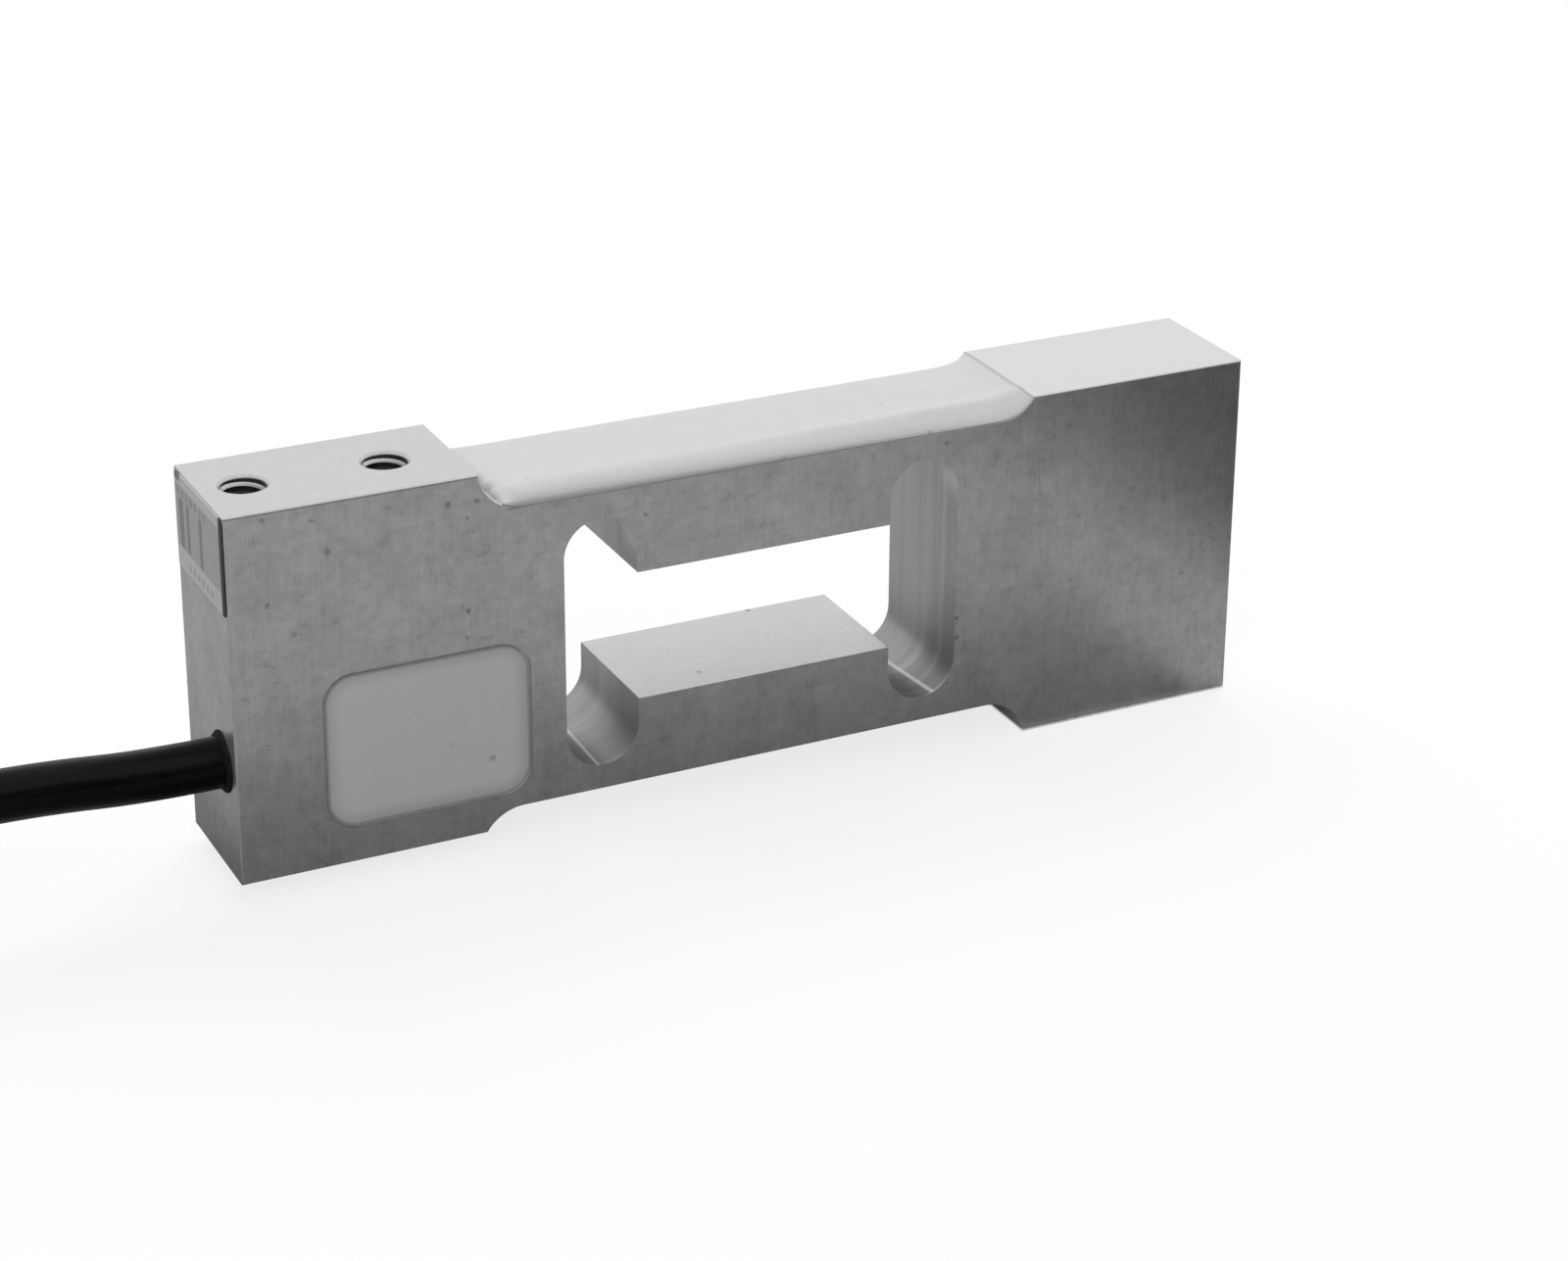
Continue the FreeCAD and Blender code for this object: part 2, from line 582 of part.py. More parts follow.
def solder_terminal(name, side, upper):
    """A terminal pad beside its gauge, towards the wiring bore, with two dots of solder."""
    pad_x = f"{side}{SLOT_X} - Sizes.gauge_length / 2 - Sizes.terminal_gap"
    pad_z = TOP_FLOOR if upper else f"{LOW_FLOOR} - Sizes.terminal_thick"
    dot_z = f"{TOP_FLOOR} + Sizes.terminal_thick"
    if not upper:
        dot_z = f"{LOW_FLOOR} - Sizes.terminal_thick - Sizes.solder_height"
    pad = new_shape(
        "Box",
        f"{name}_pad",
        f"{pad_x} - Sizes.terminal_length",
        "-Sizes.terminal_width / 2",
        pad_z,
        Length="Sizes.terminal_length",
        Width="Sizes.terminal_width",
        Height="Sizes.terminal_thick",
    )
    dots = [
        new_shape(
            "Prism",
            f"{name}_{where}_dot",
            f"{pad_x} - Sizes.terminal_length / 2",
            f"{sign}Sizes.terminal_width / 4",
            dot_z,
            Polygon="Sizes.solder_sides",
            Circumradius="Sizes.solder_radius",
            Height="Sizes.solder_height",
        )
        for where, sign in (("near", "-"), ("far", ""))
    ]
    return new_fuse(name, [pad] + dots)


PLACES = [
    ("top_cable_end", "-", True),
    ("top_far_end", "", True),
    ("bottom_cable_end", "-", False),
    ("bottom_far_end", "", False),
]
gauges = {place: strain_gauge(f"strain_gauge_{place}", side, upper) for place, side, upper in PLACES}
terminals = {place: solder_terminal(f"solder_terminal_{place}", side, upper) for place, side, upper in PLACES}

# The compensation board on the pocket floor: solder pads up both edges, three chips between them
board = new_body("compensation_board")
board_sketch = new_sketch(board, "board_outline", "XZ_Plane", z=f"-{POCKET_FLOOR}")
draw_rectangle(board_sketch, "Sizes.board_length", "Sizes.board_height", BOARD_X, "Sizes.pocket_level")
add_pad(board, board_sketch, "board_laminate", "Sizes.board_thick")
pad_sketch = new_sketch(board, "solder_pad_outlines", "XZ_Plane", z=f"-{BOARD_FACE}")
LOWEST_PAD = "Sizes.pocket_level - Sizes.solder_pad_pitch * (Sizes.solder_pad_rows - 1) / 2"
PAD_INSET = "(Sizes.board_length / 2 - Sizes.solder_pad_size)"
for side in ("-", "+"):
    pad_x = f"{BOARD_X} {side} {PAD_INSET}"
    draw_rectangle(pad_sketch, "Sizes.solder_pad_size", "Sizes.solder_pad_size", pad_x, LOWEST_PAD)
first_pads = add_pad(board, pad_sketch, "lowest_solder_pads", "Sizes.solder_pad_thick")
doc.recompute()
pad_rows = board.newObject("PartDesign::LinearPattern", "solder_pad_rows")
pad_rows.Originals = [first_pads]
pad_rows.Direction = (pad_sketch, ["V_Axis"])
pad_rows.setExpression("Length", "Sizes.solder_pad_pitch * (Sizes.solder_pad_rows - 1)")
pad_rows.setExpression("Occurrences", "Sizes.solder_pad_rows")
board.Tip = pad_rows

RESISTORS = ["zero_balance_resistor", "span_resistor", "modulus_resistor"]
resistors = [
    new_shape(
        "Box",
        name,
        f"{BOARD_X} - Sizes.resistor_length / 2",
        f"{BOARD_FACE} - Sizes.resistor_height",
        f"Sizes.pocket_level + Sizes.resistor_pitch * {row - 1} - Sizes.resistor_width / 2",
        Length="Sizes.resistor_length",
        Width="Sizes.resistor_height",
        Height="Sizes.resistor_width",
    )
    for row, name in enumerate(RESISTORS)
]

# The cable where the block holds it: collar at the mouth, jacket in the bore, crimp sleeve in the pocket
seal = new_body("cable_seal")
seal_sketch = new_sketch(seal, "seal_section", "YZ_Plane", z=EXIT_X)
draw_circle(seal_sketch, SEAL_OUTER, CABLE_Y, "Sizes.cable_level")
draw_circle(seal_sketch, "Sizes.cable_radius", CABLE_Y, "Sizes.cable_level")
add_pad(seal, seal_sketch, "seal_ring", "Sizes.seal_proud + Sizes.seal_seat")

cable_root = new_body("cable_root")
root_sketch = new_sketch(cable_root, "root_section", "YZ_Plane", z=EXIT_X)
draw_circle(root_sketch, "Sizes.cable_radius", CABLE_Y, "Sizes.cable_level")
JACKET_END = f"({POCKET_LEFT} + Sizes.jacket_inside)"
add_pad(cable_root, root_sketch, "root_jacket", f"{JACKET_END} - {EXIT_X}")

crimp = new_body("cable_crimp")
crimp_sketch = new_sketch(crimp, "crimp_section", "YZ_Plane", z=POCKET_LEFT)
draw_circle(crimp_sketch, "Sizes.cable_radius + Sizes.crimp_wall", CABLE_Y, "Sizes.cable_level")
draw_circle(crimp_sketch, "Sizes.cable_radius", CABLE_Y, "Sizes.cable_level")
add_pad(crimp, crimp_sketch, "crimp_ring", "Sizes.crimp_length")
doc.recompute()

# The cores, from the cut end of the jacket to the solder pads at that edge of the board
WIRE_COLOURS = ["red", "black", "green", "white"]
core_radius = number("Sizes.core_radius")
wire_sides = int(number("Sizes.wire_sides"))
jacket_end = Vector(number(JACKET_END), number(CABLE_Y), number("Sizes.cable_level"))
pad_face = number(f"{BOARD_FACE} - Sizes.solder_pad_thick - Sizes.wire_play")
core_rest = pad_face - core_radius
pad_side = number("Sizes.solder_pad_size")
pad_edge = number(BOARD_X) - number("Sizes.board_length") / 2 + pad_side / 2
cores = []
for row, colour in enumerate(WIRE_COLOURS):
    outer = row in (0, len(WIRE_COLOURS) - 1)
    sway = number("Sizes.core_sway") * (-1 if outer else 1)
    pad_z = number(LOWEST_PAD) + number("Sizes.solder_pad_pitch") * row
    climb = number("Sizes.core_pitch") * (row - (len(WIRE_COLOURS) - 1) / 2)
    core_start = jacket_end + Vector(0, sway, climb)
    core_lead = core_start + Vector(number("Sizes.core_straight"), 0, 0)
    core_turn = Vector(pad_edge - number("Sizes.core_turn_share") * pad_side, core_rest, pad_z)
    core_end = Vector(pad_edge + pad_side, core_rest, pad_z)
    route = [core_start, core_lead, core_turn, core_end]
    cores.append(new_tube(f"core_{colour}_inside", route, core_radius, wire_sides, bent=False))

# The gauge leads, from each terminal along the recess floor, through the upright bore, to the board
lead_radius = number("Sizes.lead_radius")
bore = Vector(number(BORE_X), number(BORE_Y), 0)
terminal_reach = number("Sizes.gauge_length / 2 + Sizes.terminal_gap + Sizes.terminal_length")
lead_rest = pad_face - lead_radius
far_pad_x = number(BOARD_X) + number("Sizes.board_length") / 2 - pad_side
lane_y = -number("Sizes.gauge_width / 2 + Sizes.lead_lane")
leads = {}


def bore_edge_rise(upper):
    """How far the step's curve lifts the edge of the bore above its recess floor."""
    foot = number(f"{PAD_RUN if upper else FREE_RUN} - {STEP}")
    inside = max(foot - bore.x - number("Sizes.wire_bore_radius"), 0)
    radius = number("Sizes.step_radius")
    return radius - math.sqrt(radius**2 - inside**2)


for place, side, upper in PLACES:
    near_end = side == "-"
    up = 1 if upper else -1
    floor_z = number(TOP_FLOOR if upper else LOW_FLOOR)
    lead_z = floor_z + up * lead_radius
    lift = bore_edge_rise(upper) + number("Sizes.wire_play")
    mouth_z = floor_z + up * (2 * lead_radius + lift)
    slot_x = number(f"{side}{SLOT_X}")
    start = Vector(slot_x - terminal_reach, -number("Sizes.terminal_width / 4"), lead_z)
    bore_y = bore.y + number("Sizes.lead_apart") / (2 if near_end else -2)
    edge_row = number("Sizes.solder_pad_rows") - 1 if upper else 0
    pad_row = edge_row if near_end else edge_row - up
    pad_z = number(LOWEST_PAD) + number("Sizes.solder_pad_pitch") * pad_row
    into_pocket = number(f"Sizes.pocket_level + {up} * (Sizes.pocket_height / 2 - Sizes.pocket_corner)")
    route = [start, start - Vector(number("Sizes.lead_straight"), 0, 0)]
    if not near_end:
        route.append(Vector(start.x - terminal_reach / 2, lane_y, lead_z))
        route.append(Vector(bore.x + terminal_reach / 2, lane_y, lead_z))
    mouth = Vector(bore.x + number("Sizes.lead_aside"), bore_y, mouth_z)
    route.append(mouth + Vector(number("Sizes.lead_ramp"), 0, 0))
    route.append(mouth)
    route.append(Vector(mouth.x, bore_y, into_pocket))
    route.append(Vector(far_pad_x + number("Sizes.lead_turn_share") * pad_side, lead_rest, pad_z))
    route.append(Vector(far_pad_x, lead_rest, pad_z))
    leads[place] = new_tube(f"gauge_lead_{place}", route, lead_radius, wire_sides, bent=False)


def silicone_coat(name, upper, thick, margin, shoulder, left, right):
    """The silicone poured in a recess and rolled off at both side faces: a bar less all that it covers."""
    body = new_body(f"{name}_bar")
    sketch = new_sketch(body, f"{name}_section", "YZ_Plane", z=left)
    floor, crown = (TOP_FLOOR, f"{TOP_FLOOR} + {thick}") if upper else (LOW_FLOOR, f"{LOW_FLOOR} - {thick}")
    side = 1 if upper else -1
    foot = f"({NEAR} - {margin})"
    edge = f"({NEAR} - {margin} - {shoulder})"
    radius = f"({shoulder} ^ 2 + {thick} ^ 2) / (2 * {thick})"
    draw_outline(
        sketch,
        (f"-{foot}", floor),
        [(foot, floor), (edge, crown, radius, side), (f"-{edge}", crown), (f"-{foot}", floor, radius, side)],
    )
    add_pad(body, sketch, f"{name}_pour", f"{right} - {left}")
    here = [place for place, _, above in PLACES if above == upper]
    covered = [item[place] for item in (gauges, terminals, leads) for place in here]
    return new_cut(name, body, [block] + covered)


top_coat = silicone_coat(
    "top_gauge_coat",
    True,
    "Sizes.top_coat_thick",
    "Sizes.top_coat_margin",
    "Sizes.top_coat_shoulder",
    f"(-{STEP})",
    STEP,
)
low_coat = silicone_coat(
    "bottom_gauge_coat",
    False,
    "Sizes.low_coat_thick",
    "Sizes.low_coat_margin",
    "Sizes.low_coat_shoulder",
    f"({BORE_X} - Sizes.wire_bore_radius)",
    f"({STEP} - {PAD_RUN})",
)

# The potting that fills the pocket round the board and the wires
fill = new_body("pocket_fill")
fill_sketch = new_sketch(fill, "fill_outline", "XZ_Plane", z=NEAR)
draw_rounded(fill_sketch, *POCKET_SIZES, *POCKET_PLACE)
add_pad(fill, fill_sketch, "fill_block", "Sizes.pocket_depth", flip=True)
potted = [board, crimp, cable_root] + resistors + cores + list(leads.values())
potting = new_cut("pocket_potting", fill, potted)

# The hank of the put-away length: one closed ring in the shape of its turns, which lies on its two ties
HANK_BAND = "(2 * Sizes.cable_radius + Sizes.hank_pitch)"
HANK_TALL = "(2 * Sizes.cable_radius + Sizes.hank_pitch * (Sizes.hank_layers - 1))"
hank_body = new_body("hank_of_turns")
hank_sketch = new_sketch(hank_body, "hank_outline", "XY_Plane")
draw_rounded(hank_sketch, "Sizes.hank_length", "Sizes.hank_width", "Sizes.hank_fold")
draw_rounded(
    hank_sketch,
    f"(Sizes.hank_length - 2 * {HANK_BAND})",
    f"(Sizes.hank_width - 2 * {HANK_BAND})",
    f"(Sizes.hank_fold - {HANK_BAND})",
)
wound = add_pad(hank_body, hank_sketch, "hank_turns", HANK_TALL)
doc.recompute()
rims = [count for count, edge in enumerate(wound.Shape.Edges, start=1) if edge.BoundBox.ZLength < 1e-6]
rounded = hank_body.newObject("PartDesign::Chamfer", "hank_edges")
rounded.Base = (wound, [f"Edge{count}" for count in rims])
rounded.setExpression("Size", "Sizes.hank_bevel")
place_by(hank_body, "Sizes.hank_x", "Sizes.hank_y", "Sizes.tie_thick")
doc.recompute()
hank_body.Label = "cable_hank"

ties = []
for name, side in (("hank_tie_near", "-"), ("hank_tie_far", "")):
    tie_y = f"Sizes.hank_y + {side}1 * (Sizes.hank_width - {HANK_BAND}) / 2"
    tie_body = new_body(f"{name}_strap")
    strap_sketch = new_sketch(tie_body, f"{name}_outline", "YZ_Plane", z="Sizes.hank_x - Sizes.tie_width / 2")
    strap_wide = f"({HANK_BAND} + 2 * Sizes.tie_thick)"
    strap_tall = f"({HANK_TALL} + 2 * Sizes.tie_thick)"
    draw_bevelled(strap_sketch, strap_wide, strap_tall, "Sizes.hank_bevel", tie_y, f"{strap_tall} / 2")
    add_pad(tie_body, strap_sketch, f"{name}_loop", "Sizes.tie_width")
    head_level = f"{strap_tall} - Sizes.tie_thick / 2"
    head_sketch = new_sketch(tie_body, f"{name}_head_outline", "XY_Plane", z=head_level)
    draw_rectangle(head_sketch, "Sizes.tie_head_width", "Sizes.tie_head_length", "Sizes.hank_x", tie_y)
    add_pad(tie_body, head_sketch, f"{name}_head", "Sizes.tie_head_height")
    ties.append(new_cut(name, tie_body, [hank_body]))

# The cable's free run, from the block to where it joins the hank, and its tail in the hank's middle
cable_radius = number("Sizes.cable_radius")
cable_sides = int(number("Sizes.cable_sides"))
cable_exit = Vector(number(EXIT_X), number(CABLE_Y), number("Sizes.cable_level"))
run_points = [
    cable_exit,
    Vector(-85.5, cable_exit.y, cable_exit.z),
    Vector(-98.5, -5.3, 19.75),
    Vector(-112.5, -5.65, 20.2),
    Vector(-125.2, -5.8, 19.1),
]
cable_run = new_tube("cable_run", run_points, cable_radius, cable_sides)
tail_points = [Vector(-166.9, 8.1, 4.2), Vector(-181.7, 15.0, 4.2)]
cable_tail = new_tube("cable_tail", tail_points, cable_radius, cable_sides)

# The shrink sleeve at the cable's end, and the flying leads that come out of its tip
tail_end = tail_points[-1]
heading = (tail_end - tail_points[-2]).normalize()
sideways = UP.cross(heading).normalize()
sleeve_outer = cable_radius + number("Sizes.sleeve_wall")
on_jacket = number("Sizes.sleeve_on_jacket")
past_jacket = number("Sizes.sleeve_past_jacket")
sleeve_body = Part.makeCylinder(sleeve_outer, on_jacket, tail_end - heading * on_jacket, heading)
sleeve_tip = Part.makeCone(sleeve_outer, number("Sizes.sleeve_tip_radius"), past_jacket, tail_end, heading)
jacket_bore = Part.makeCylinder(cable_radius, on_jacket, tail_end - heading * on_jacket, heading)
sleeve = doc.addObject("Part::Feature", "shrink_sleeve")
sleeve.Label = "shrink_sleeve"
sleeve.Shape = sleeve_body.fuse(sleeve_tip).removeSplitter().cut(jacket_bore)

tip = tail_end + heading * past_jacket
FLYING = [(f"flying_lead_{colour}", "Sizes.flying_radius") for colour in WIRE_COLOURS]
FLYING.append(("shield_drain_wire", "Sizes.drain_radius"))
flying = []
for order, (name, radius_name) in enumerate(FLYING):
    radius = number(radius_name)
    offset = order - (len(FLYING) - 1) / 2
    aside = sideways * offset
    root = tip + aside * number("Sizes.flying_pitch")
    root.z += radius * (1 if order % 2 else -1)
    rise = root + heading * number("Sizes.flying_straight")
    drop = tip + heading * number("Sizes.flying_landing") + aside * number("Sizes.flying_landing_pitch")
    drop.z = radius + number("Sizes.flying_hover")
    reach = number("Sizes.flying_length") - number("Sizes.flying_trim") * abs(offset)
    end = tip + heading * reach + aside * number("Sizes.flying_spread")
    end.z = radius
    flying.append(new_tube(name, [root, rise, drop, end], radius, int(number("Sizes.flying_sides"))))

# The label on the cable end
label = new_shape(
    "Box",
    "end_label",
    f"-{END} - Sizes.label_thick",
    f"Sizes.label_from_near - {NEAR}",
    "Sizes.body_height - Sizes.label_from_top - Sizes.label_height",
    Length="Sizes.label_thick",
    Width="Sizes.label_width",
    Height="Sizes.label_height",
)

doc.recompute()

pieces = [block, top_coat, low_coat, potting, board, seal, cable_root, crimp, label]
pieces += [cable_run, hank_body, cable_tail, sleeve] + ties
pieces += resistors + cores + flying
pieces += list(gauges.values()) + list(terminals.values()) + list(leads.values())

for item in doc.Objects:
    if "Invalid" in item.State or "Error" in item.State:
        raise ValueError(f"{item.Name} failed: {item.State}")
for piece in pieces:
    if piece.Shape.isNull() or not piece.Shape.isValid() or not piece.Shape.Solids:
        raise ValueError(f"{piece.Label} has no sound solid")

os.makedirs("parts", exist_ok=True)
for piece in pieces:
    piece.Shape.exportStep(f"parts/{piece.Label}.step")
    print(piece.Label, len(piece.Shape.Solids), "solid", round(piece.Shape.Volume, 2), "mm3")
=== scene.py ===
# %% [markdown]
# # A strain gauge load cell
# The block of a single-point load cell is one piece of aluminium, 150 mm long. A window milled through its
# side leaves four thin sections, and the gauges on them are under silicone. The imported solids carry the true
# dimensions. This script gives them their finishes, adds the pieces that solids can't show well, and lights
# them. Everything is in metres in the frame of the solids: x runs from the cable end to the far end, the near
# face looks towards -y, and the lower pad is at z = 0. Sizes of the object are written in millimetres.

import math

import bmesh
import bpy
from mathutils import Matrix, Vector, noise


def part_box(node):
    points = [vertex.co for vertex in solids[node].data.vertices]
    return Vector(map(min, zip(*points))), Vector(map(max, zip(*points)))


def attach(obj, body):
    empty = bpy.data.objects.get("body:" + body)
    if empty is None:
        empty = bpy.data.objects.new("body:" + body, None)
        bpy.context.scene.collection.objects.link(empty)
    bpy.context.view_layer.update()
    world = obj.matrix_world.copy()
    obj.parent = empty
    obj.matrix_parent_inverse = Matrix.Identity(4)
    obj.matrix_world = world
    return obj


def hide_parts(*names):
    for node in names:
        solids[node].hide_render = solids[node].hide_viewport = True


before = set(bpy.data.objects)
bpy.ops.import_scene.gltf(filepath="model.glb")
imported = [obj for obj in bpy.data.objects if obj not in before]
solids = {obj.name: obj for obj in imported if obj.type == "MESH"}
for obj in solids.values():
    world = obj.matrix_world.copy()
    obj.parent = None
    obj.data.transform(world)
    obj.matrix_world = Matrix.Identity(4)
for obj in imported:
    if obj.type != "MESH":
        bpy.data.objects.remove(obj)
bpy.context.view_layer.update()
MM = 0.001


# %% Read the block's sizes
def corners_of(node_name):
    """A solid's lowest and highest corners, in millimetres."""
    return [[round(c / MM, 3) for c in corner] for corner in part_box(node_name)]


half_length, half_thickness, cable_pad = corners_of("load_cell_body")[1]
far_pad = cable_pad - 2.5
recess_level = corners_of("top_gauge_coat")[0][2]
print("block:", 2 * half_length, "by", 2 * half_thickness, "by", cable_pad, "mm, recess at", recess_level)


# %% [markdown]
# ## The camera
# The photograph looks down on the near face from the left. Its corners were matched to the block's corners,
# which gives the place, the direction and the focal length. A small shift moves the frame over the object, as
# a shift lens does, because the block doesn't sit in the middle of the photograph.

# %% Place the camera
def look_from(place, heading, tilt, roll):
    """A camera's matrix: heading from +y towards +x, tilt below the horizon and roll, in degrees."""
    turn = Matrix.Rotation(math.radians(-heading), 4, "Z") @ Matrix.Rotation(math.radians(90 - tilt), 4, "X")
    return Matrix.Translation(Vector(place) * MM) @ turn @ Matrix.Rotation(math.radians(roll), 4, "Z")


lens = bpy.data.cameras.new("product_camera")
lens.sensor_width = 36
lens.lens = 83.21
lens.shift_x = -0.0684
lens.shift_y = -0.1087
lens.clip_start = 0.01
camera = bpy.data.objects.new("product_camera", lens)
camera.matrix_world = look_from((-195.57, -414.43, 229.94), heading=27.931, tilt=21.910, roll=1.016)
bpy.context.scene.collection.objects.link(camera)
bpy.context.scene.camera = camera
print("camera at", [round(c, 4) for c in camera.location], "with a", round(lens.lens, 1), "mm lens")


# %% [markdown]
# ## The shader maths
# A finish is a small program of nodes. Written as nodes it is hard to read, so one class wraps a node's
# output: adding or multiplying two outputs adds the Math node that does it. Any other node comes from one
# method, which takes the node's type, then its settings, then what goes into its sockets.

# %% Wrap a node's output
class Signal:
    """One output of a node. Sums, differences, products and powers add Math nodes."""

    def __init__(self, finish, socket):
        self.finish = finish
        self.socket = socket

    def maths(self, operation, first, second=0.0):
        return self.finish.add("ShaderNodeMath", 0, {"operation": operation}, {0: first, 1: second})

    def __add__(self, other):
        return self.maths("ADD", self, other)

    def __radd__(self, other):
        return self.maths("ADD", other, self)

    def __sub__(self, other):
        return self.maths("SUBTRACT", self, other)

    def __rsub__(self, other):
        return self.maths("SUBTRACT", other, self)

    def __mul__(self, other):
        return self.maths("MULTIPLY", self, other)

    def __rmul__(self, other):
        return self.maths("MULTIPLY", other, self)

    def __pow__(self, other):
        return self.maths("POWER", self, other)

    def __abs__(self):
        return self.maths("ABSOLUTE", self)

    def most(self, other):
        return self.maths("MAXIMUM", self, other)

    def least(self, other):
        return self.maths("MINIMUM", self, other)

    def step(self, low, high):
        """0 below low and 1 above high, with a soft change between; low may be the greater of the two."""
        ends = {"From Min": low, "From Max": high, "Value": self}
        return self.finish.add("ShaderNodeMapRange", 0, {"interpolation_type": "SMOOTHSTEP"}, ends)


# %% Write a finish
class Finish:
    """A material that is written node by node, on a grid of millimetres."""

    def __init__(self, name, colour=(0.5, 0.5, 0.5), **shader_values):
        self.material = bpy.data.materials.new(name)
        self.material.use_nodes = True
        self.tree = self.material.node_tree
        self.shader = self.tree.nodes["Principled BSDF"]
        self.set("Base Color", (*colour, 1))
        for socket, value in shader_values.items():
            self.set(socket.replace("_", " "), value)
        place = self.add("ShaderNodeTexCoord", "Object")
        self.place = self.add("ShaderNodeVectorMath", 0, {"operation": "SCALE"}, {0: place, "Scale": 1 / MM})
        axes = [self.add("ShaderNodeSeparateXYZ", axis, {}, {0: self.place}) for axis in "XYZ"]
        self.x, self.y, self.z = axes

    def feed(self, socket, value):
        if isinstance(value, Signal):
            self.tree.links.new(value.socket, socket)
        else:
            socket.default_value = value

    def set(self, socket, value):
        """Gives one of the shader's own sockets a value or a link."""
        self.feed(self.shader.inputs[socket], value)

    def add(self, kind, output=0, settings=None, sockets=None):
        """Any node: its settings first, then the values or links of its sockets."""
        node = self.tree.nodes.new(kind)
        for name, setting in (settings or {}).items():
            setattr(node, name, setting)
        for name, value in (sockets or {}).items():
            self.feed(node.inputs[name], value)
        return Signal(self, node.outputs[output])

    def blend(self, mask, first, second):
        """The first colour where the mask is 0, the second where it is 1."""
        factor, colour_a, colour_b, mixed = 0, 6, 7, 2
        colours = [c if isinstance(c, Signal) else (*c, 1) for c in (first, second)]
        sockets = {factor: mask, colour_a: colours[0], colour_b: colours[1]}
        return self.add("ShaderNodeMix", mixed, {"data_type": "RGBA"}, sockets)

    def grain(self, scale, stretch=(1, 1, 1), detail=3.0, rough=0.55):
        """Noise from 0 to 1 around a half, with that many blots to a millimetre."""
        place = self.add("ShaderNodeMapping", 0, {}, {"Vector": self.place, "Scale": stretch})
        sockets = {"Vector": place, "Scale": scale, "Detail": detail, "Roughness": rough}
        return self.add("ShaderNodeTexNoise", 0, {}, sockets)

    def relief(self, height, depth):
        """Bumps of that depth in millimetres, fed to the shader's normal."""
        sockets = {"Strength": 1.0, "Distance": depth * MM, "Height": height}
        self.set("Normal", self.add("ShaderNodeBump", 0, {}, sockets))


def wear(node_names, finish):
    """Gives solids a finish, in the material slot that each already has."""
    for name in node_names:
        solids[name].material_slots[0].material = finish.material
    print(finish.material.name, "on", ", ".join(node_names))


# %% [markdown]
# ## The cable
# The lead leaves the block at the cable end and runs out of the picture on the left. Its put-away length,
# about 1.5 m of 7 mm round cable in all, lies there as a hank: turns beside and on each other, folded round
# at both ends and held by two ties. A cable is one smooth line, so it is one NURBS curve with a round bevel.
# Its first and last points are those of the solids' route. The hank's turns are more points of the same
# curve, from a loop that walks round it and moves from lane to lane once a turn.

# %% The cable's ends
cable_radius = 3.5
cable_y, cable_z = -4.4, 18.0
cable_exit = Vector((-75.8, cable_y, cable_z))
run_out = [(-85.5, cable_y, cable_z), (-98.5, -5.3, 19.75), (-112.5, -5.65, 20.2),
           (-125.2, -5.8, 19.1), (-138.0, -5.8, 18.4)]
run_home = [(-152.3, 1.3, 4.2), (-166.9, 8.1, 4.2), (-181.7, 15.0, 4.2)]
print("the cable leaves the block at", [round(c, 1) for c in cable_exit], "mm")

# %% The hank's turns
hank_middle = Vector((-177.2, 22.7, 0))
half_straight = 31
middle_fold = 24.95
fold_step = math.radians(30)
fold_length = math.pi * middle_fold
lap = 4 * half_straight + 2 * fold_length
lanes = [(28.5, 18.4), (21.4, 18.4), (21.4, 11.3), (28.5, 11.3), (28.5, 4.2), (21.4, 4.2)]
change_every, change_takes = 232, 60


def lane_at(walked):
    """Fold radius and level of the turn, after walking that many millimetres along the hank's middle."""
    radius, level = lanes[0]
    for change, (next_radius, next_level) in enumerate(lanes[1:], start=1):
        share = min(max((walked - change_every * change) / change_takes + 0.5, 0), 1)
        share = share * share * (3 - 2 * share)
        radius += (next_radius - radius) * share
        level += (next_level - level) * share
    return radius, level


def beside_hank(walked):
    """The curve's point there: a straight side, or the corner of a polygon round the fold."""
    radius, level = lane_at(walked)
    side, along = divmod(walked % lap, lap / 2)
    way = 1 if side else -1
    if along < 2 * half_straight:
        return hank_middle + Vector((way * (along - half_straight), way * radius, level))
    turn = (along - 2 * half_straight) / middle_fold
    corner = radius / math.cos(fold_step / 2)
    across = Vector((half_straight + math.sin(turn) * corner, math.cos(turn) * corner, 0))
    return hank_middle + way * across + Vector((0, 0, level))


# %% Walk the cable's line
half_laps = 10
lap_marks = [6, 31, 56] + [2 * half_straight + middle_fold * fold_step * (step + 0.5) for step in range(6)]
turns = [beside_hank(lap / 2 * side + mark) for side in range(half_laps) for mark in lap_marks]
cable_points = [cable_exit] + [Vector(p) for p in run_out] + turns + [Vector(p) for p in run_home]
print("the cable's line has", len(cable_points), "points, and a turn is", round(lap), "mm")


# %% Draw a smooth line through the air
def smooth_line(name, points, radius):
    """A round cable or wire: one open NURBS line with a round bevel, from points in millimetres.

    The radius is each point's own and not the bevel's, because a curve's box counts its points' radii."""
    curve = bpy.data.curves.new(name, "CURVE")
    curve.dimensions = "3D"
    curve.bevel_depth = 1
    curve.bevel_resolution = 5
    curve.resolution_u = 6
    curve.use_fill_caps = True
    line = curve.splines.new("NURBS")
    line.points.add(len(points) - 1)
    for knot, point in zip(line.points, points):
        knot.co = (*(point * MM), 1)
        knot.radius = radius * MM
    line.order_u = 3
    line.use_endpoint_u = True
    piece = bpy.data.objects.new(name, curve)
    bpy.context.scene.collection.objects.link(piece)
    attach(piece, "root")
    return piece


